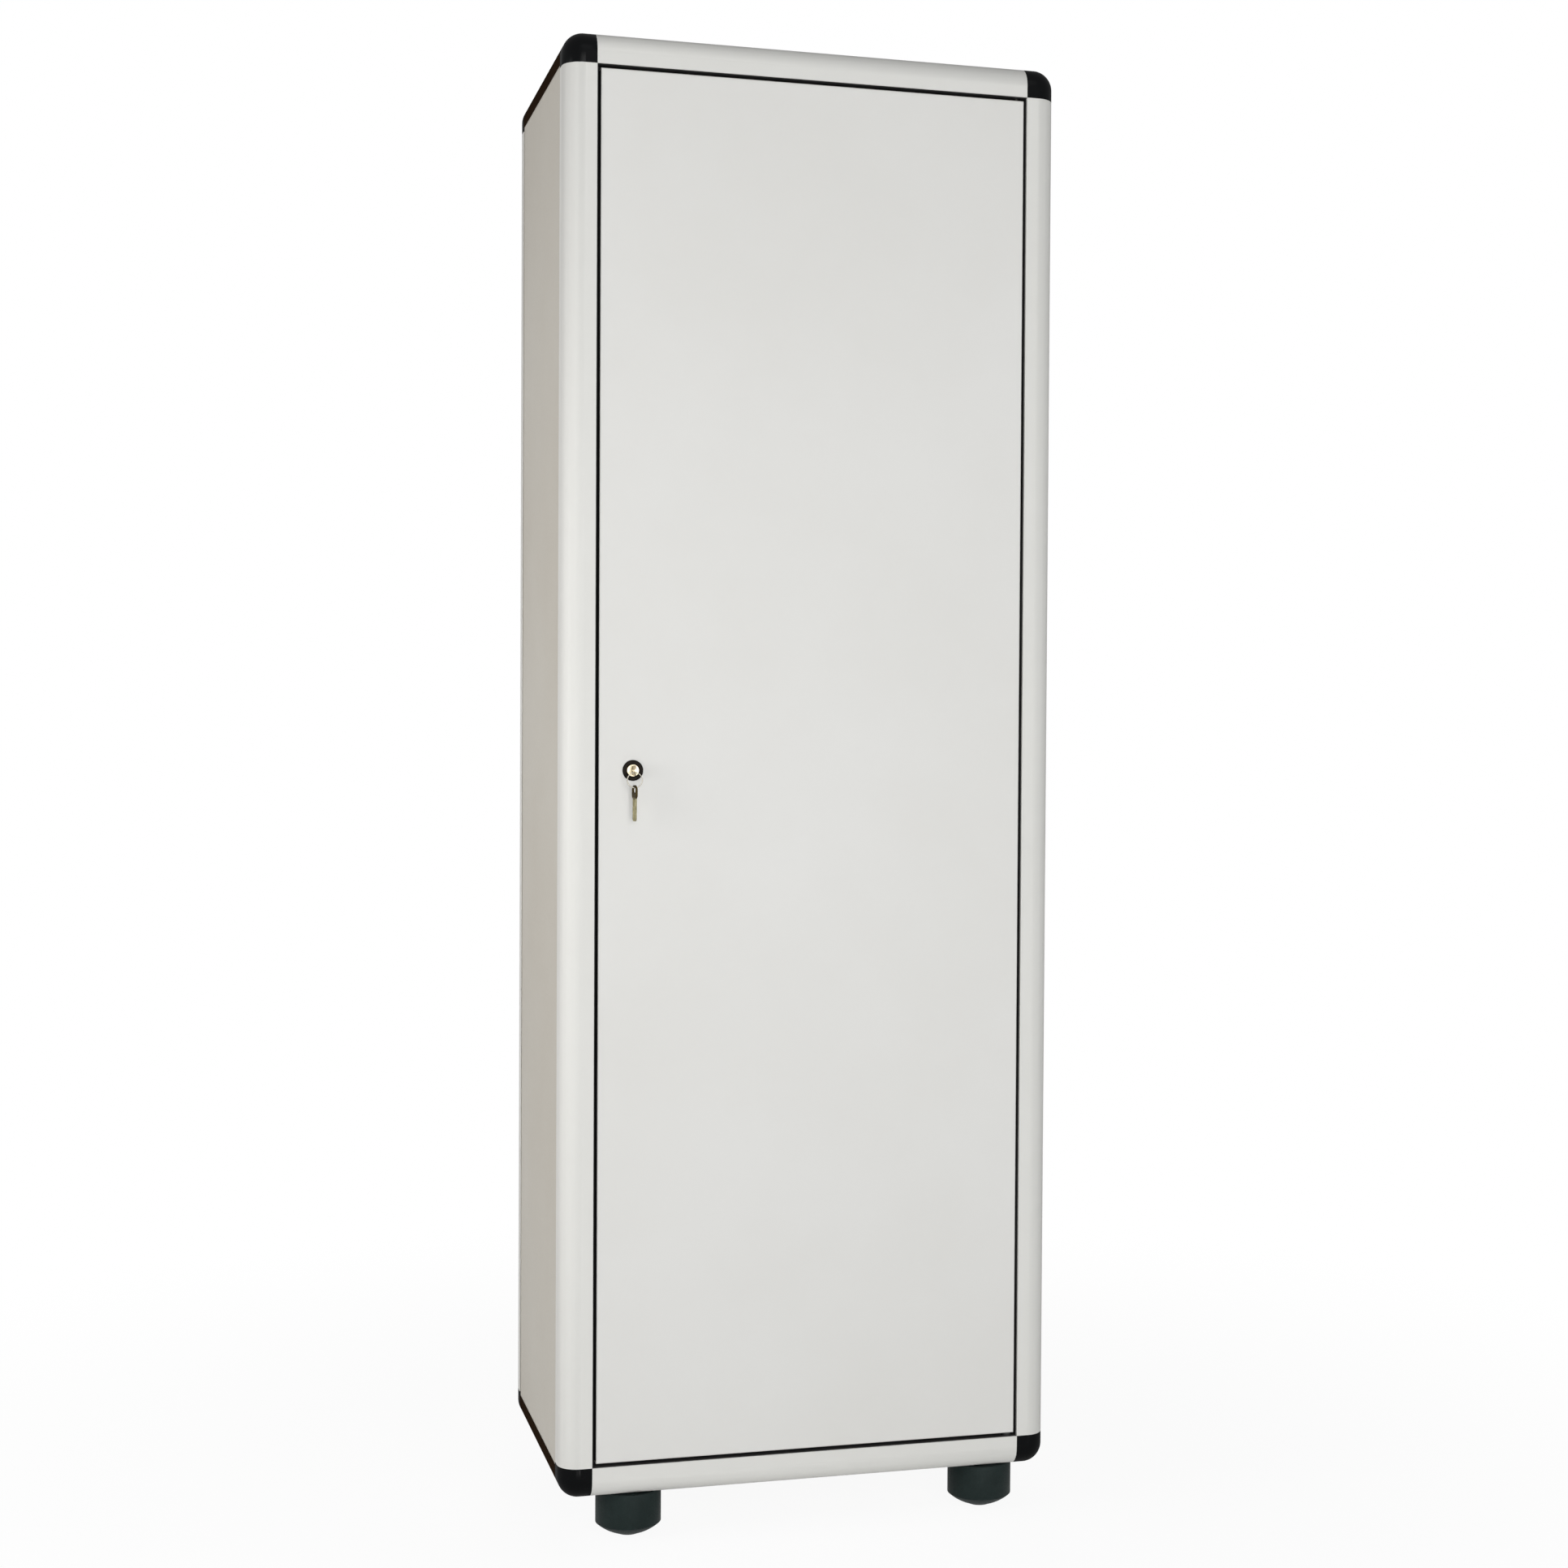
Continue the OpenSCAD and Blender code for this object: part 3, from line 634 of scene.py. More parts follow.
@dataclass
class Surface:
    """A shell of points in mm and the faces between them.

    Attributes:
        points: One row of x, y and z for each point.
        faces: Blocks of faces, each with one row of point numbers for each face.
    """

    points: np.ndarray
    faces: list[np.ndarray]

    def __add__(self, other: Surface) -> Surface:
        """Joins two shells into one."""
        moved = [block + len(self.points) for block in other.faces]
        return Surface(np.vstack([self.points, other.points]), self.faces + moved)

    def placed(
        self,
        origin: tuple[float, float, float],
        u: tuple[float, float, float] = (1, 0, 0),
        v: tuple[float, float, float] = (0, 1, 0),
        w: tuple[float, float, float] = (0, 0, 1),
    ) -> Surface:
        """Carries the shell to a place, with its own three axes along u, v and w."""
        axes = np.array([u, v, w], float)
        return Surface(self.points @ axes + np.array(origin, float), self.faces)

    def repeated(self, places: np.ndarray) -> Surface:
        """Copies the shell to each of the places.

        Args:
            places: One row of x, y and z for each copy.

        Returns:
            One shell of all the copies.
        """
        points = (places[:, None, :] + self.points[None]).reshape(-1, 3)
        steps = np.arange(len(places)) * len(self.points)
        faces = [
            (block[None] + steps[:, None, None]).reshape(-1, block.shape[1])
            for block in self.faces
        ]
        return Surface(points, faces)


def grid(points: np.ndarray, wrap_rows: bool = False, wrap_columns: bool = True) -> Surface:
    """Turns a grid of points into a skin of four-sided faces.

    Args:
        points: Rows by columns by x, y, z.
        wrap_rows: Whether the last row joins the first.
        wrap_columns: Whether the last column joins the first.

    Returns:
        The skin.
    """
    rows, columns = points.shape[:2]
    i, j = np.meshgrid(
        np.arange(rows if wrap_rows else rows - 1),
        np.arange(columns if wrap_columns else columns - 1),
        indexing="ij",
    )
    below, right = (i + 1) % rows, (j + 1) % columns
    corners = [(i, j), (i, right), (below, right), (below, j)]
    faces = np.stack([row * columns + column for row, column in corners], -1)
    return Surface(points.reshape(-1, 3), [faces.reshape(-1, 4)])


def closed_grid(points: np.ndarray) -> Surface:
    """Skins a grid whose columns wrap, and closes its first and last row with one face each.

    Args:
        points: Rows by columns by x, y, z.

    Returns:
        The closed shell.
    """
    rows, columns = points.shape[:2]
    skin = grid(points)
    first = np.arange(columns)[::-1]
    last = np.arange(columns) + (rows - 1) * columns
    skin.faces.append(np.stack([first, last]))
    return skin


def turned(profile: np.ndarray, count: int, ring: bool = False) -> Surface:
    """Turns a profile about the third axis: x = r cos t, y = r sin t, z = h.

    Args:
        profile: Rows of radius and height.
        count: The number of steps round the axis.
        ring: Whether the profile is a closed loop, as for a washer.

    Returns:
        The turned shell.
    """
    turn = np.arange(count) * 2 * np.pi / count
    radius, height = profile[:, :1], np.repeat(profile[:, 1:], count, 1)
    points = np.stack([radius * np.cos(turn), radius * np.sin(turn), height], -1)
    return grid(points, wrap_rows=True) if ring else closed_grid(points)


def inset(loop: np.ndarray, amount: float) -> np.ndarray:
    """Moves a closed loop to its left by an amount, each corner along its mitre line.

    The mitre of two edge normals m and n is (m + n) / (1 + m . n). At a needle-sharp corner the
    divisor is held at 0.3, so that the corner doesn't run away.

    Args:
        loop: One row of x and y for each corner.
        amount: How far each edge moves.

    Returns:
        The moved loop.
    """
    least_length, least_divisor = 1e-9, 0.3
    edge = np.roll(loop, -1, 0) - loop
    normal = np.stack([-edge[:, 1], edge[:, 0]], -1)
    normal /= np.maximum(np.linalg.norm(normal, axis=1, keepdims=True), least_length)
    before = np.roll(normal, 1, 0)
    share = 1 + (normal * before).sum(1, keepdims=True)
    return loop + amount * (normal + before) / np.maximum(share, least_divisor)


def plate(loops: list[np.ndarray], steps: list[list[tuple[float, float]]]) -> Surface:
    """Raises a flat shape with holes, whose walls step in and out as they rise.

    Args:
        loops: The outer loop, counterclockwise, and then the holes, clockwise.
        steps: For each loop, rows of inset and height, from the bottom face to the top face.

    Returns:
        A closed shell: one wall for each loop, and a bottom and a top face in triangles.
    """
    walls = [
        np.stack([np.column_stack([inset(loop, a), np.full(len(loop), h)]) for a, h in rows])
        for loop, rows in zip(loops, steps)
    ]
    whole = grid(walls[0])
    for wall in walls[1:]:
        whole = whole + grid(wall)
    starts = np.cumsum([0] + [wall.shape[0] * wall.shape[1] for wall in walls[:-1]])
    for row in (0, -1):
        rings = [wall[row] for wall in walls]
        numbers = np.concatenate(
            [
                start + (row % len(wall)) * wall.shape[1] + np.arange(wall.shape[1])
                for start, wall in zip(starts, walls)
            ]
        )
        corners = tessellate_polygon([[Vector(p) for p in ring.tolist()] for ring in rings])
        whole.faces.append(numbers[np.array(corners)])
    return whole


def thread_radius(
    h: np.ndarray, t: np.ndarray, radius: float, pitch: float, depth: float, length: float
) -> np.ndarray:
    """Gives a thread's radius: radius - depth * triangle(h / pitch + t / 2 pi).

    The thread fades in over the second pitch and out over the last one.

    Args:
        h: The height along the thread.
        t: The angle round its axis.
        radius: The radius over the thread.
        pitch: The thread's pitch.
        depth: The thread's depth.
        length: The thread's length.

    Returns:
        The radius at each height and angle.
    """
    wave = np.abs(((h / pitch + t / (2 * np.pi)) % 1.0) * 2 - 1)
    fade = np.clip((h - pitch) / pitch, 0, 1) * np.clip((length - h) / pitch, 0, 1)
    return radius - depth * wave * fade


def polar(radius: np.ndarray, t: np.ndarray, h: np.ndarray) -> np.ndarray:
    """Gives the points x = r cos t, y = r sin t, z = h for whole arrays."""
    radius, h = np.broadcast_arrays(radius, h)
    return np.stack([radius * np.cos(t), radius * np.sin(t), h], -1)


def hexagon(across: float, low: float, high: float, bore: float | None) -> Surface:
    """Makes a chamfered hexagon, with its corners on the first axis.

    Its radius at the angle t is across / 2 over the cosine of the angle to the nearest flat.
    At both ends it is held to 0.98 of across / 2 by a turned chamfer of 30 degrees.

    Args:
        across: The width over the flats.
        low: The lower end.
        high: The upper end.
        bore: The radius of the bore, or None for a solid head.

    Returns:
        The closed shell.
    """
    count, chamfer_share, chamfer_angle = 72, 0.98, math.radians(30)
    t = np.arange(count) * 2 * np.pi / count
    flat = (t % (np.pi / 3)) - np.pi / 6
    corner = across / 2 / np.cos(flat)
    held = np.minimum(corner, across / 2 * chamfer_share)
    drop = (corner - held) * math.tan(chamfer_angle)
    rows = [
        polar(held, t, low + 0 * t),
        polar(corner, t, low + drop),
        polar(corner, t, high - drop),
        polar(held, t, high + 0 * t),
    ]
    if bore is None:
        return closed_grid(np.stack(rows))
    inner = [polar(bore + 0 * t, t, high + 0 * t), polar(bore + 0 * t, t, low + 0 * t)]
    return grid(np.stack(rows + inner), wrap_rows=True)


def screw_head(radius: float, height: float) -> Surface:
    """Makes a domed head with a cross recess.

    At the distance s from the axis the dome is height * (1 - (s / radius)^2.6), and inside 0.62
    of the radius each of two crossed slots lowers it by half of the height. A slot's sides
    slope up to 1.2 * 0.14 of the radius from its middle, and its ends over 0.12 of the radius.
    The head stands 0.05 mm into what it holds.

    Args:
        radius: The head's radius.
        height: The head's height.

    Returns:
        The closed shell, along the third axis.
    """
    count, sunk, roundness = 32, 0.05, 2.6
    slot_half, slot_reach, slot_end = 0.14, 0.62, 0.12
    t = np.arange(count) * 2 * np.pi / count
    share = np.linspace(1.0, 0.04, 11)[:, None]
    x, y = share * radius * np.cos(t), share * radius * np.sin(t)
    dome = height * (1 - share**roundness) + 0 * t
    arm = np.clip(1.2 - np.minimum(np.abs(x), np.abs(y)) / (slot_half * radius), 0, 1)
    recess = 0.5 * height * arm * np.clip((slot_reach - share) / slot_end, 0, 1)
    top = np.stack([x, y, dome - recess], -1)
    base = np.stack([x[0], y[0], 0 * t - sunk], -1)[None]
    return closed_grid(np.concatenate([base, top]))


@dataclass
class Workshop:
    """Turns shells into pieces of the model.

    Attributes:
        finishes: The materials.
    """

    finishes: Finishes

    def piece(
        self,
        name: str,
        shell: Surface,
        slot: Slot,
        body: Body,
        replaced: tuple[str, ...] = (),
        finish: Finish | None = None,
    ) -> bpy.types.Object:
        """Makes a piece of a shell, dresses it and lets it ride.

        Args:
            name: The piece's name.
            shell: Its surface, in mm.
            slot: The material slot that it takes its finish from.
            body: The body that it moves with.
            replaced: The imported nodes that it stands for.
            finish: Its own finish, where it isn't the slot's usual one.

        Returns:
            The piece.
        """
        mesh = bpy.data.meshes.new(name)
        faces = [row for block in shell.faces for row in block.tolist()]
        mesh.from_pydata((shell.points * MM).tolist(), [], faces)
        closed = bmesh.new()
        closed.from_mesh(mesh)
        bmesh.ops.remove_doubles(closed, verts=closed.verts, dist=PIECE_WELD)
        bmesh.ops.recalc_face_normals(closed, faces=closed.faces)
        closed.to_mesh(mesh)
        closed.free()
        mesh.shade_smooth()
        mesh.set_sharp_from_angle(angle=PIECE_EDGE_ANGLE)
        made = add_object(name, mesh)
        mesh.materials.append(self.finishes.of(slot, finish))
        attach(made, body.value)
        if replaced:
            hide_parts(*replaced)
        log.info("%s made, %d faces", name, len(mesh.polygons))
        return made


def node_box(node: str) -> tuple[np.ndarray, np.ndarray]:
    """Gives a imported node's lowest and highest corner, in mm."""
    low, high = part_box(node)
    return np.array(low) / MM, np.array(high) / MM


@dataclass
class Key:
    """A cabinet key: a long rimmed bow with a round hole, and a grooved, notched blade.

    In its own plane the bow touches the origin, with the blade along +X and the bow along -X.

    Attributes:
        bow_l: The bow's length.
        bow_w: The bow's width.
        hole_r: The radius of the hole.
        hole_in: The distance from the bow's end to the hole's middle.
        blade_l: The blade's length.
        blade_h: The blade's height.
        thick: The key's thickness.
        groove: The depth of the blade's grooves.
        root: How far the blade reaches into the bow.
        tip_l: The length over which the blade draws in at its tip.
        tip_slope: How fast it draws in there.
        notches: The place along the blade and the depth of each notch.
        rim: Rows of inset and drop below the face, for the rim round the bow's edge.
        collar: The same for the rim round the hole.
    """

    bow_l: float = 17.5
    bow_w: float = 12.6
    hole_r: float = 3.6
    hole_in: float = 5.9
    blade_l: float = 25.5
    blade_h: float = 8.0
    thick: float = 2.0
    groove: float = 0.45
    root: float = 2.5
    tip_l: float = 3.0
    tip_slope: float = 0.6
    notches: tuple[tuple[float, float], ...] = (
        (7.5, 1.0), (12.0, 0.6), (16.5, 0.9), (21.0, 0.5),
    )
    rim: tuple[tuple[float, float], ...] = ((0.0, 0.3), (0.3, 0.0), (1.3, 0.0), (1.55, 0.25))
    collar: tuple[tuple[float, float], ...] = ((0.0, 0.2), (0.2, 0.0), (0.7, 0.0), (0.95, 0.25))

    def bow(self) -> Surface:
        """Makes the bow.

        Its outline is x = r cos t and y = r sin t about the middle of either rounded end. The
        walls step in to a raised rim at both faces, round the edge and round the hole.

        Returns:
            The closed shell.
        """
        t = (np.arange(96) + 0.5) * 2 * np.pi / 96
        end_r = self.bow_w / 2
        end = np.where(np.cos(t) > 0, -end_r, end_r - self.bow_l)
        outline = np.column_stack([end + end_r * np.cos(t), end_r * np.sin(t)])
        middle = self.hole_in - self.bow_l
        hole = np.column_stack(
            [self.hole_r * np.cos(-t[::2]) + middle, self.hole_r * np.sin(-t[::2])]
        )
        steps = []
        for drops in (self.rim, self.collar):
            rows = [(a, self.thick / 2 - drop) for a, drop in drops]
            steps.append([(a, -h) for a, h in rows[::-1]] + rows)
        return plate([outline, hole], steps)

    def blade(self) -> Surface:
        """Makes the blade.

        A section with a groove in each flat side is carried along X. Its top follows the
        notches, each a V of its own depth, and both edges draw in at the tip.

        Returns:
            The closed shell.
        """
        half, top = self.thick / 2, self.blade_h / 2
        side = np.array(
            [
                (-top, 0.55 * half), (-top + 0.35, half), (-0.9, half),
                (-0.6, half - self.groove), (0.9, half - self.groove), (1.2, half),
                (top - 1.5, half), (top - 0.8, half), (top - 0.35, half), (top, 0.55 * half),
            ]
        )
        other = side[::-1] * np.array([1.0, -1.0])
        section = np.vstack([side, other])
        along = np.unique(
            np.concatenate(
                [
                    np.linspace(-self.root, self.blade_l, 54),
                    np.array([[x - d, x, x + d] for x, d in self.notches]).ravel(),
                ]
            )
        )
        cut = sum(np.clip(d - np.abs(along - x), 0, None) for x, d in self.notches)
        draw = np.clip(along - self.blade_l + self.tip_l, 0, None) * self.tip_slope
        upper = (top - cut - draw)[:, None]
        lower = (-top + draw)[:, None]
        height = np.clip(section[None, :, 0], lower, upper)
        points = np.broadcast_arrays(along[:, None], height, section[None, :, 1])
        return closed_grid(np.stack(points, -1))


@dataclass
class LockAndKeys:
    """The cam lock with its key, and the split ring with the spare key.

    Attributes:
        workshop: Where the pieces are made.
        key: The key's shape.
        head_r: The radius of the lock's head.
        head_t: The thickness of the head.
        bore_r: The radius of the plug's bore.
        head_edge: The radius of the head's rounded rim.
        body_r: The radius over the thread.
        pitch: The thread's pitch.
        thread_depth: The thread's depth.
        cam_nut_bore: The radius of the cam nut's bore.
        nut_play: The play of both nuts on their threads.
        ring_r: The split ring's mean radius.
        wire_half: Half of the ring's wire, outwards and sideways.
        turn_beside: How far each turn of the wire lies beside the ring's middle.
        crossing: Half of the angle over which the wire crosses from one turn to the other.
        spare_turn: The turn of the hanging key about the vertical, in degrees.
    """

    workshop: Workshop
    key: Key = field(default_factory=Key)
    head_r: float = 12.5
    head_t: float = 2.0
    bore_r: float = 7.06
    head_edge: float = 1.1
    body_r: float = 9.5
    pitch: float = 1.0
    thread_depth: float = 0.3
    cam_nut_bore: float = 3.0
    nut_play: float = 0.02
    ring_r: float = 9.0
    wire_half: tuple[float, float] = (0.55, 0.27)
    turn_beside: float = 0.29
    crossing: float = 0.45
    spare_turn: float = 16.0

    def housing(self) -> None:
        """Makes the lock's housing.

        The head is a turned profile with a rounded rim and a groove round the plug. The body is
        a grid of height and angle, with a thread.
        """
        low, high = node_box("lock_housing")
        axis_x, axis_z = (low + high)[[0, 2]] / 2
        face = low[1] + self.head_t
        length = high[1] - face
        mouth, top, edge = self.bore_r, -self.head_t, self.head_edge
        a = np.linspace(0, np.pi / 2, 7)
        rim = [self.head_r - edge + edge * np.sin(a), top + edge - edge * np.cos(a)]
        head = np.vstack(
            [
                [(mouth, 0.0), (mouth, top + 0.35)],
                [(mouth + 0.35, top + 0.1), (mouth + 0.8, top)],
                np.column_stack(rim),
                [(self.head_r, -0.1), (self.head_r - 0.1, 0.0)],
            ]
        )
        t = np.arange(72) * 2 * np.pi / 72
        h = np.linspace(0.0, length, 150)[:, None]
        radius = thread_radius(h, t, self.body_r, self.pitch, self.thread_depth, length)
        skin = polar(radius, t, h)
        bore = polar(self.bore_r + 0 * t, t, np.array([[length], [0.0]]))
        body = grid(np.concatenate([skin, bore]), wrap_rows=True)
        whole = turned(head, 96, ring=True) + body
        place = (axis_x, face, axis_z)
        self.workshop.piece(
            "lock_head_and_thread",
            whole.placed(place, (1, 0, 0), (0, 0, -1), (0, 1, 0)),
            Slot.BLACK_NICKEL,
            Body.DOOR,
            ("lock_housing",),
        )

    def keys(self) -> None:
        """Makes the key in the lock and the spare key, which hangs turned to the front left."""
        low, high = node_box("key_in_lock")
        middle = (low + high) / 2
        shoulder = (middle[0], high[1] - self.key.blade_l, middle[2])
        axes = ((0, 1, 0), (0, 0, 1), (1, 0, 0))
        self.key_pair("lock_key", shoulder, axes, Body.LOCK, "key_in_lock", NICKEL_SILVER)
        low, high = node_box("spare_key")
        middle = (low + high) / 2
        turn = math.radians(self.spare_turn)
        shoulder = (middle[0], middle[1], low[2] + self.key.blade_l)
        across = (-math.sin(turn), math.cos(turn), 0)
        flat = (math.cos(turn), math.sin(turn), 0)
        axes = ((0, 0, -1), across, flat)
        # The spare key's bow is painted shade: dark brown, while the same key's bow in the lock
        # is bright.
        self.key_pair(
            "hanging_key", shoulder, axes, Body.HANGING_KEY, "spare_key", SHADED_BOW_BRASS
        )

    def key_pair(
        self,
        name: str,
        shoulder: tuple[float, float, float],
        axes: tuple[tuple[float, float, float], ...],
        body: Body,
        node: str,
        bow_finish: Finish,
    ) -> None:
        """Makes a key's bow and its worn blade.

        Args:
            name: The start of both pieces' names.
            shoulder: The place of the key's shoulder.
            axes: The directions of the blade, of its height and of its thickness.
            body: The body that the key moves with.
            node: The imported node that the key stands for.
            bow_finish: The finish of the bow.
        """
        bow = self.key.bow().placed(shoulder, *axes)
        blade = self.key.blade().placed(shoulder, *axes)
        self.workshop.piece(f"{name}_bow", bow, Slot.BRASS, body, (node,), bow_finish)
        self.workshop.piece(f"{name}_blade", blade, Slot.BRASS, body, (node,), WORN_BRASS)

    def split_ring(self) -> None:
        """Makes the split ring: a flat oval wire wound through two turns.

        At the angle t the wire's middle is (r cos t, r sin t) in the ring's plane, and beside
        it by a smooth step, which crosses over once, half way along the wire. At the angle s
        round the wire its section is sign(cos s) |cos s|^0.8 outwards, and the same of the sine
        sideways, each times half of the wire.
        """
        low, high = node_box("key_ring")
        middle = (low + high) / 2
        cross, squareness = self.crossing, 0.8
        t = np.linspace(cross, 4 * np.pi - cross, 240)[:, None]
        step = np.clip((t - 2 * np.pi + cross) / (2 * cross), 0, 1)
        beside = self.turn_beside * (2 * step * step * (3 - 2 * step) - 1)
        s = np.arange(16) * 2 * np.pi / 16
        out, flat = (
            np.sign(wave) * np.abs(wave) ** squareness * half
            for wave, half in zip((np.cos(s), np.sin(s)), self.wire_half)
        )
        radius = self.ring_r + out
        points = np.stack([radius * np.cos(t), beside + flat, radius * np.sin(t)], -1)
        self.workshop.piece(
            "split_ring",
            closed_grid(points).placed(tuple(middle)),
            Slot.NICKEL,
            Body.RING,
            ("key_ring",),
        )

    def nuts(self) -> None:
        """Makes the lock's fixing nut and the cam's nut, each a chamfered hexagon."""
        rows = (
            ("lock_nut", self.body_r, Body.DOOR),
            ("cam_nut", self.cam_nut_bore, Body.LOCK),
        )
        for node, bore, body in rows:
            low, high = node_box(node)
            across = high[2] - low[2]
            shell = hexagon(across, 0.0, high[1] - low[1], bore + self.nut_play)
            place = ((low[0] + high[0]) / 2, low[1], (low[2] + high[2]) / 2)
            self.workshop.piece(
                f"chamfered_{node}",
                shell.placed(place, (1, 0, 0), (0, 0, -1), (0, 1, 0)),
                Slot.ZINC,
                body,
                (node,),
            )

    def build(self) -> None:
        """Makes the lock's housing and nuts, both keys and the ring."""
        self.housing()
        self.nuts()
        self.keys()
        self.split_ring()


@dataclass
class Fasteners:
    """The screws of the shelf tracks and the pivot blocks, and the foot bolts.

    Attributes:
        workshop: Where the pieces are made.
        track_steps: The track screws' heights over the track's end, half way between slots.
        track_d: The depth of a track.
        track_head: The radius and height of a track screw's head.
        block_in: The distance of the block screws from the door's edge.
        block_levels: Their distances from the door's top and bottom.
        block_head: The radius and height of a block screw's head.
        bolt_r: The radius of a foot bolt.
        bolt_pitch: The pitch of its thread.
        bolt_thread: The depth of its thread.
        bolt_af: The width of its head over the flats.
        head_t: The height of its head.
        flange_r: The radius of the head's flange.
        flange_t: The height of the flange.
        flange_top_r: The radius of the flange's top.
    """

    workshop: Workshop
    track_steps: tuple[float, ...] = (60.0, 510.0, 860.0, 1160.0, 1560.0)
    track_d: float = 10.0
    track_head: tuple[float, float] = (4.0, 1.8)
    block_in: float = 19.0
    block_levels: tuple[float, ...] = (11.0, 31.0)
    block_head: tuple[float, float] = (3.2, 1.1)
    bolt_r: float = 4.0
    bolt_pitch: float = 1.25
    bolt_thread: float = 0.35
    bolt_af: float = 13.0
    head_t: float = 5.5
    flange_r: float = 8.4
    flange_t: float = 1.5
    flange_top_r: float = 6.6

    def track_screws(self) -> None:
        """Makes the screws that hold the tracks to the posts."""
        head = screw_head(*self.track_head)
        for side in ("left", "right"):
            low, high = node_box(f"shelf_tracks_{side}")
            middle = (low[0] + high[0]) / 2
            levels = low[2] + np.array(self.track_steps)
            front = np.column_stack(
                [middle + 0 * levels, low[1] + self.track_d + 0 * levels, levels]
            )
            rear = front * np.array([1.0, -1.0, 1.0])
            facing_rear = head.placed((0, 0, 0), (0, 0, 1), (1, 0, 0), (0, 1, 0))
            facing_front = head.placed((0, 0, 0), (1, 0, 0), (0, 0, 1), (0, -1, 0))
            shell = facing_rear.repeated(front) + facing_front.repeated(rear)
            self.workshop.piece(f"track_screws_{side}", shell, Slot.ZINC, Body.CABINET)

    def block_screws(self) -> None:
        """Makes the screws that hold the door's liner to the pivot blocks."""
        low, high = node_box("door_skin")
        levels = np.array(self.block_levels)
        levels = np.concatenate([low[2] + levels, high[2] - levels])
        rear = node_box("door_liner")[1][1]
        columns = [high[0] - self.block_in + 0 * levels, rear + 0 * levels, levels]
        places = np.column_stack(columns)
        head = screw_head(*self.block_head)
        head = head.placed((0, 0, 0), (0, 0, 1), (1, 0, 0), (0, 1, 0))
        self.workshop.piece("block_screws", head.repeated(places), Slot.ZINC, Body.DOOR)

    def foot_bolts(self) -> None:
        """Makes the foot bolts: a chamfered hexagon on a flange, over a thread.

        The hexagon starts 1.2 mm over the seat, inside the flange, whose faces end 0.5 mm from
        the axis, inside the shank and the hexagon.
        """
        low, high = node_box("foot_bolts")
        seat = high[2] - self.head_t
        top = seat + self.flange_t
        across = self.bolt_af
        corner = across / 2 / math.cos(math.radians(30))
        columns = (low[0] + corner, high[0] - corner)
        rows = (low[1] + across / 2, high[1] - across / 2)
        places = np.array([[x, y, 0.0] for x in columns for y in rows])
        flange = turned(
            np.array(
                [
                    (0.5, seat), (self.flange_r - 0.2, seat), (self.flange_r, seat + 0.3),
                    (self.flange_r - 0.3, seat + 0.8), (self.flange_top_r, top), (0.5, top),
                ]
            ),
            48,
        )
        length = seat - low[2]
        t = np.arange(36) * 2 * np.pi / 36
        h = np.linspace(0.0, length, 150)[:, None]
        radius = thread_radius(h, t, self.bolt_r, self.bolt_pitch, self.bolt_thread, length)
        shank = polar(radius, t, low[2] + h)
        shell = hexagon(across, seat + 1.2, high[2], None) + flange + closed_grid(shank)
        self.workshop.piece(
            "flange_bolts", shell.repeated(places), Slot.ZINC, Body.CABINET, ("foot_bolts",)
        )

    def build(self) -> None:
        """Makes all the fasteners."""
        self.track_screws()
        self.block_screws()
        self.foot_bolts()


@dataclass
class GapShadeStrip:
    """A thin black strip in the rubber finish on the door's closing edge: painted shade, which
    stands in for the shadow in the gap beside the lock.

    Attributes:
        workshop: Where the piece is made.
        thick: How far the strip stands out of the door's edge.
        front_in: Its distance behind the door's face.
        rear_in: Its distance in front of the door's rear.
        end_in: Its distance from the door's top and bottom.
        groove: Half of the depth of its three grooves.
        grip: How deep it sits in the door's edge.
    """

    workshop: Workshop
    thick: float = 0.7
    front_in: float = 2.1
    rear_in: float = 1.0
    end_in: float = 2.5
    groove: float = 0.12
    grip: float = 0.1

    def build(self) -> None:
        """Makes the strip.

        Across the strip, at the share s, its face is thick * (1 - |2 s - 1|^6), so both edges
        are rounded, less three grooves, groove * (1 - cos 6 pi s), where it is thick enough.
        """
        low, high = node_box("door_skin")
        s = np.linspace(0.0, 1.0, 41)
        face = self.thick * (1 - np.abs(2 * s - 1) ** 6)
        face -= self.groove * (1 - np.cos(6 * np.pi * s)) * (face > 0.5 * self.thick)
        across = low[1] + self.front_in + s * (high[1] - low[1] - self.front_in - self.rear_in)
        outer = np.column_stack([low[0] - face, across])
        inside = low[0] + self.grip
        inner = np.array([(inside, across[-1]), (inside, across[0])])
        section = np.vstack([outer, inner])
        levels = np.linspace(low[2] + self.end_in, high[2] - self.end_in, 2)
        points = np.stack(
            [np.column_stack([section, np.full(len(section), z)]) for z in levels]
        )
        # The black strip is painted shade: it makes the gap beside the lock as dark as its
        # shadow.
        self.workshop.piece("gap_shade_strip", closed_grid(points), Slot.RUBBER, Body.DOOR)


@dataclass(frozen=True)
class SoftLamp:
    """A rectangular soft light.

    Attributes:
        name: The lamp's name.
        place: Its middle, in metres.
        size: Its width and height, in metres.
        watts: Its power.
        colour: Its colour.
        target: The point that it faces, in metres.
    """

    name: str
    place: tuple[float, float, float]
    size: tuple[float, float]
    watts: float
    colour: str = "#FFFFFF"
    target: tuple[float, float, float] = (0.0, 0.0, 0.9)

    def hang(self) -> None:
        """Adds the lamp to the scene and turns it to its target."""
        data = bpy.data.lights.new(self.name, "AREA")
        data.shape = "RECTANGLE"
        data.size, data.size_y = self.size
        data.energy = self.watts
        data.color = linear(self.colour)[:3]
        lamp = add_object(self.name, data)
        lamp.location = self.place
        ahead = Vector(self.target) - Vector(self.place)
        lamp.rotation_euler = ahead.to_track_quat("-Z", "Y").to_euler()


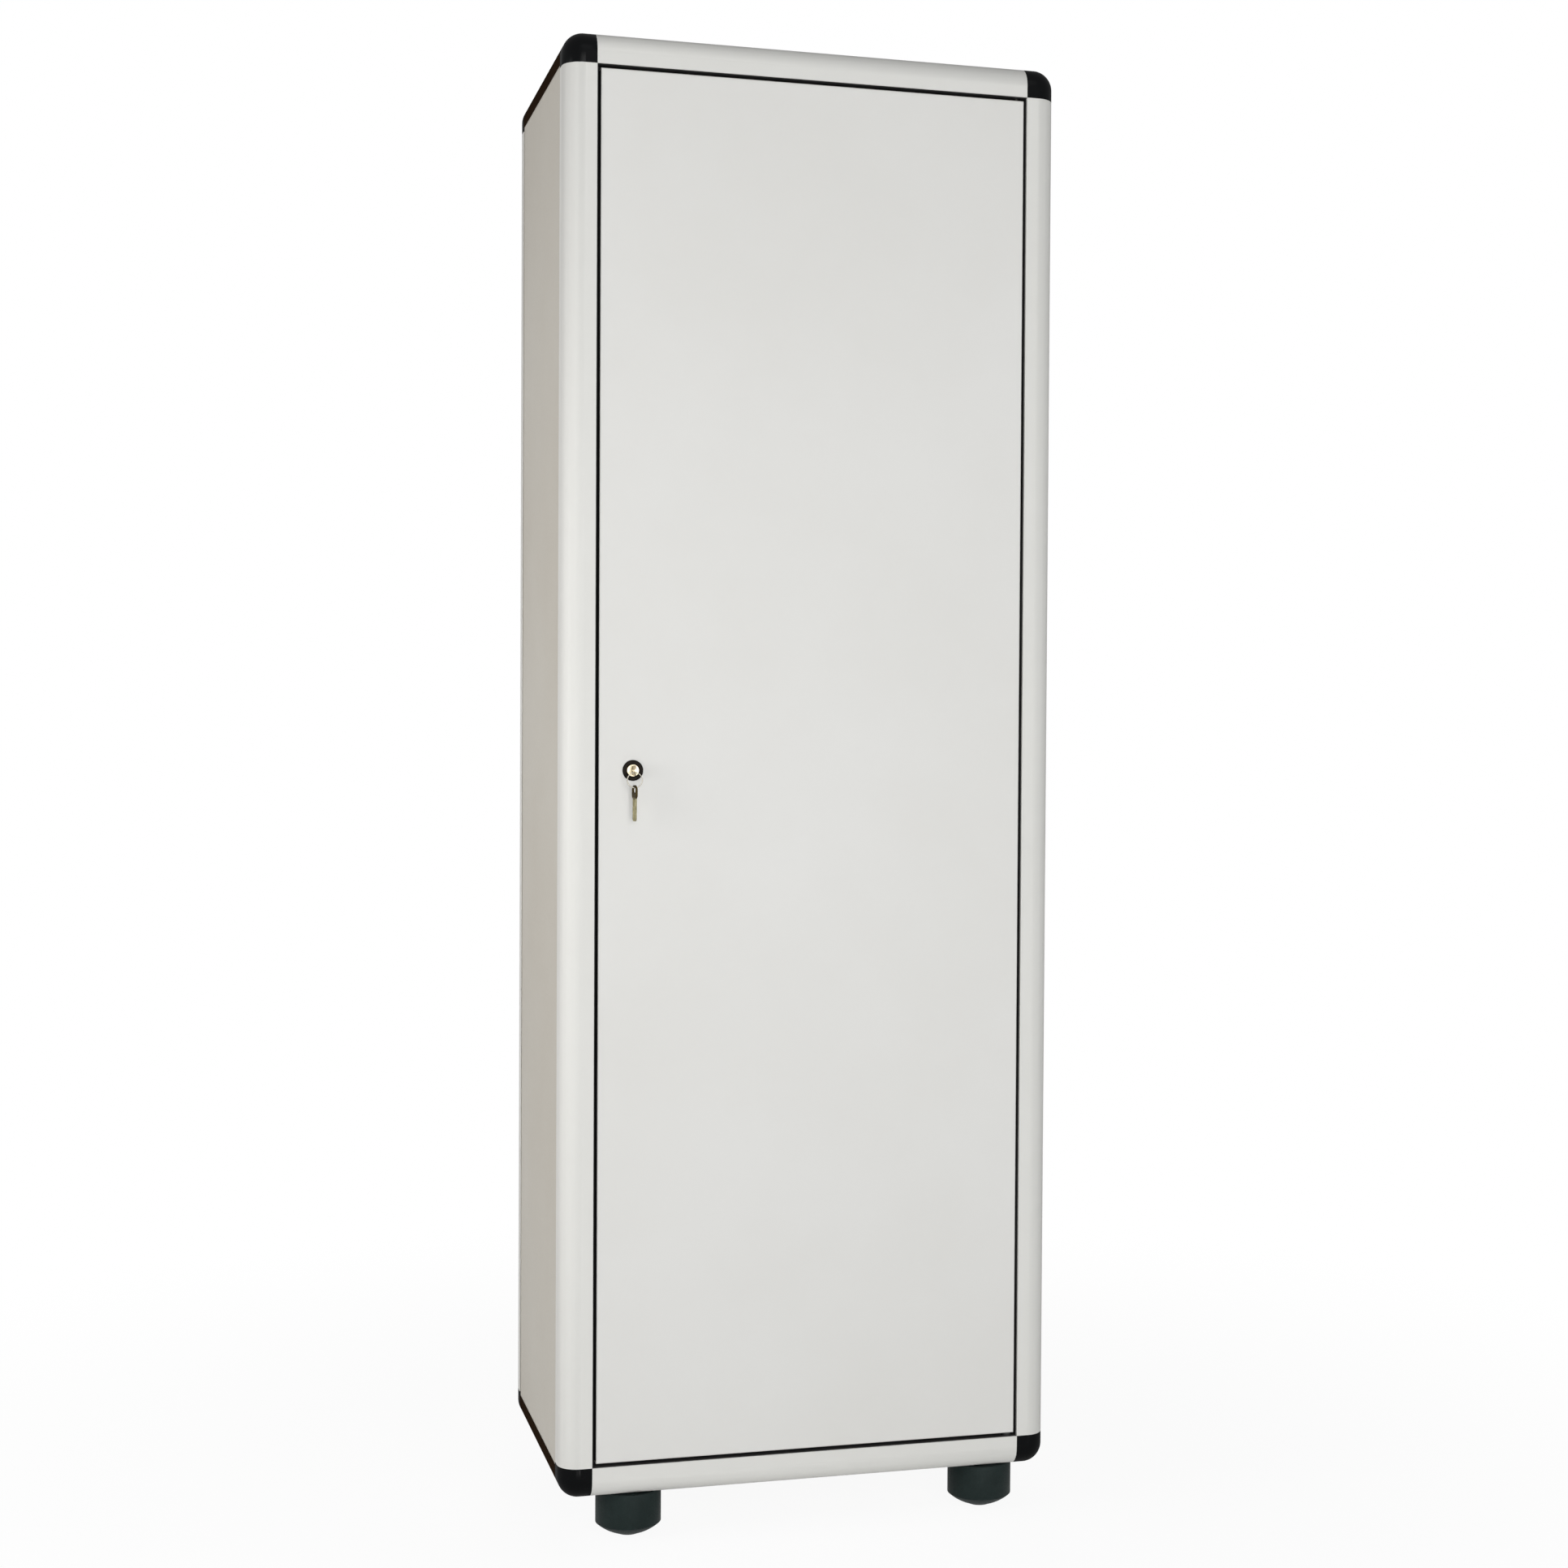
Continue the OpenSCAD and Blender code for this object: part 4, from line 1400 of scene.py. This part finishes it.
# A key light in front, a fill on the left, a weak one overhead, and one behind, which stands to
# the right so that the left side, which is seen along its surface, doesn't mirror it.
LAMPS = (
    SoftLamp("key", (0.10, -3.5, 1.1), (1.9, 2.0), 64.0),
    SoftLamp("fill", (-2.0, -0.5, 1.1), (1.0, 1.0), 17.5, "#FFFDFC"),
    SoftLamp("overhead", (0.0, -1.9, 2.9), (1.6, 0.8), 4.6, target=(0.0, -0.6, 0.9)),
    SoftLamp("back", (0.7, 3.2, 2.2), (1.2, 2.2), 30.0),
)


@dataclass
class Studio:
    """The plain pale floor, the soft lights and the camera at the photograph's angle.

    Attributes:
        camera_mm: Where the lens is.
        yaw: The turn of the view to the cabinet's right, in degrees.
        pitch: The tilt of the view, in degrees.
        roll: The lean of the camera, in degrees.
        lens_mm: The focal length.
        sensor_mm: The width of the sensor.
        sight: How far the camera sees, in metres.
        shift: The sideways shift of the picture, as a share of its width, because the
            photograph was cropped off its lens's axis.
        surround: The strength of the surround where it lights.
        floor_half: Half of the floor's width, in metres.
        shadow_reach: Where the floor starts to turn white and where it is white, in metres.
        white_near: The floor's white share under the cabinet.
    """

    camera_mm: tuple[float, float, float] = (-738.7, -3074.8, 984.2)
    yaw: float = 15.763
    pitch: float = -1.331
    roll: float = 0.368
    lens_mm: float = 55.904
    sensor_mm: float = 36.0
    sight: float = 100.0
    shift: float = -0.0556
    surround: float = 0.20
    floor_half: float = 30.0
    shadow_reach: tuple[float, float] = (0.4, 1.8)
    white_near: float = 0.93

    def camera(self) -> None:
        """Makes the camera, from the angles that the photograph's edges give."""
        yaw, pitch, roll = (math.radians(a) for a in (self.yaw, self.pitch, self.roll))
        ahead = Vector(
            (math.sin(yaw) * math.cos(pitch), math.cos(yaw) * math.cos(pitch), math.sin(pitch))
        )
        level = Vector((math.cos(yaw), -math.sin(yaw), 0.0))
        upright = level.cross(ahead)
        right = level * math.cos(roll) + upright * math.sin(roll)
        up = upright * math.cos(roll) - level * math.sin(roll)
        data = bpy.data.cameras.new("camera")
        data.lens = self.lens_mm
        data.sensor_width = self.sensor_mm
        data.shift_x = self.shift
        data.clip_end = self.sight
        camera = add_object("camera", data)
        turn = Matrix((right, up, -ahead)).transposed().to_4x4()
        camera.matrix_world = Matrix.Translation(Vector(self.camera_mm) * MM) @ turn
        bpy.context.scene.camera = camera

    def world(self) -> None:
        """Gives an even surround: white where it is seen, softer where it lights."""
        world = bpy.data.worlds.new("studio")
        bpy.context.scene.world = world
        tree = empty_tree(world)
        soft = add_node(
            tree, "ShaderNodeBackground", {"Color": linear("#F4F4F6"), "Strength": self.surround}
        )
        bright = add_node(
            tree, "ShaderNodeBackground", {"Color": linear("#FFFFFF"), "Strength": 1.0}
        )
        both = add_node(
            tree,
            "ShaderNodeMixShader",
            links={0: seen_plainly(tree), 1: soft.outputs[0], 2: bright.outputs[0]},
        )
        add_node(tree, "ShaderNodeOutputWorld", links={"Surface": both.outputs[0]})

    def floor(self) -> None:
        """Lays a plain pale floor that keeps the shadow near by and turns white far off."""
        signs = ((-1, -1), (1, -1), (1, 1), (-1, 1))
        corners = [(self.floor_half * x, self.floor_half * y, 0.0) for x, y in signs]
        mesh = bpy.data.meshes.new("floor")
        mesh.from_pydata(corners, [], [(0, 1, 2, 3)])
        made = bpy.data.materials.new("pale_floor")
        tree = empty_tree(made)
        matt = add_node(tree, "ShaderNodeBsdfDiffuse", {"Color": linear("#F2F2F2")})
        glow = add_node(
            tree, "ShaderNodeEmission", {"Color": linear("#FFFFFF"), "Strength": 1.0}
        )
        place = add_node(tree, "ShaderNodeTexCoord").outputs["Object"]
        away = add_node(
            tree, "ShaderNodeVectorMath", {"operation": "LENGTH"}, {0: place}
        ).outputs["Value"]
        white = add_node(
            tree,
            "ShaderNodeMapRange",
            {
                "interpolation_type": "SMOOTHSTEP",
                "From Min": self.shadow_reach[0],
                "From Max": self.shadow_reach[1],
                "To Min": self.white_near,
                "To Max": 1.0,
            },
            {"Value": away},
        ).outputs["Result"]
        share = add_node(
            tree, "ShaderNodeMath", {"operation": "MULTIPLY"}, {0: seen_plainly(tree), 1: white}
        )
        both = add_node(
            tree,
            "ShaderNodeMixShader",
            links={0: share.outputs[0], 1: matt.outputs[0], 2: glow.outputs[0]},
        )
        add_node(tree, "ShaderNodeOutputMaterial", links={"Surface": both.outputs[0]})
        mesh.materials.append(made)
        add_object("floor", mesh)

    def build(self) -> None:
        """Builds the whole studio."""
        bpy.context.scene.view_settings.view_transform = "Standard"
        self.camera()
        for lamp in LAMPS:
            lamp.hang()
        self.world()
        self.floor()


def main() -> None:
    """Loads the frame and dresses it."""
    logging.basicConfig(level=logging.INFO, format="%(name)s: %(message)s")
    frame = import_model()
    finishes = Finishes()
    slots = {row["node"]: Slot(row["material_slot"]) for row in frame["record"]["subparts"]}
    for name, node in frame["nodes"].items():
        finishes.dress_node(node, name, slots[name])
        for start, radius_mm in EDGE_RADIUS_MM.items():
            if name.startswith(start):
                soften(node, radius_mm)
        log.info("%s dressed with %s", name, slots[name].value)
    workshop = Workshop(finishes)
    LockAndKeys(workshop).build()
    Fasteners(workshop).build()
    GapShadeStrip(workshop).build()
    Studio().build()


if __name__ == "__main__":
    main()
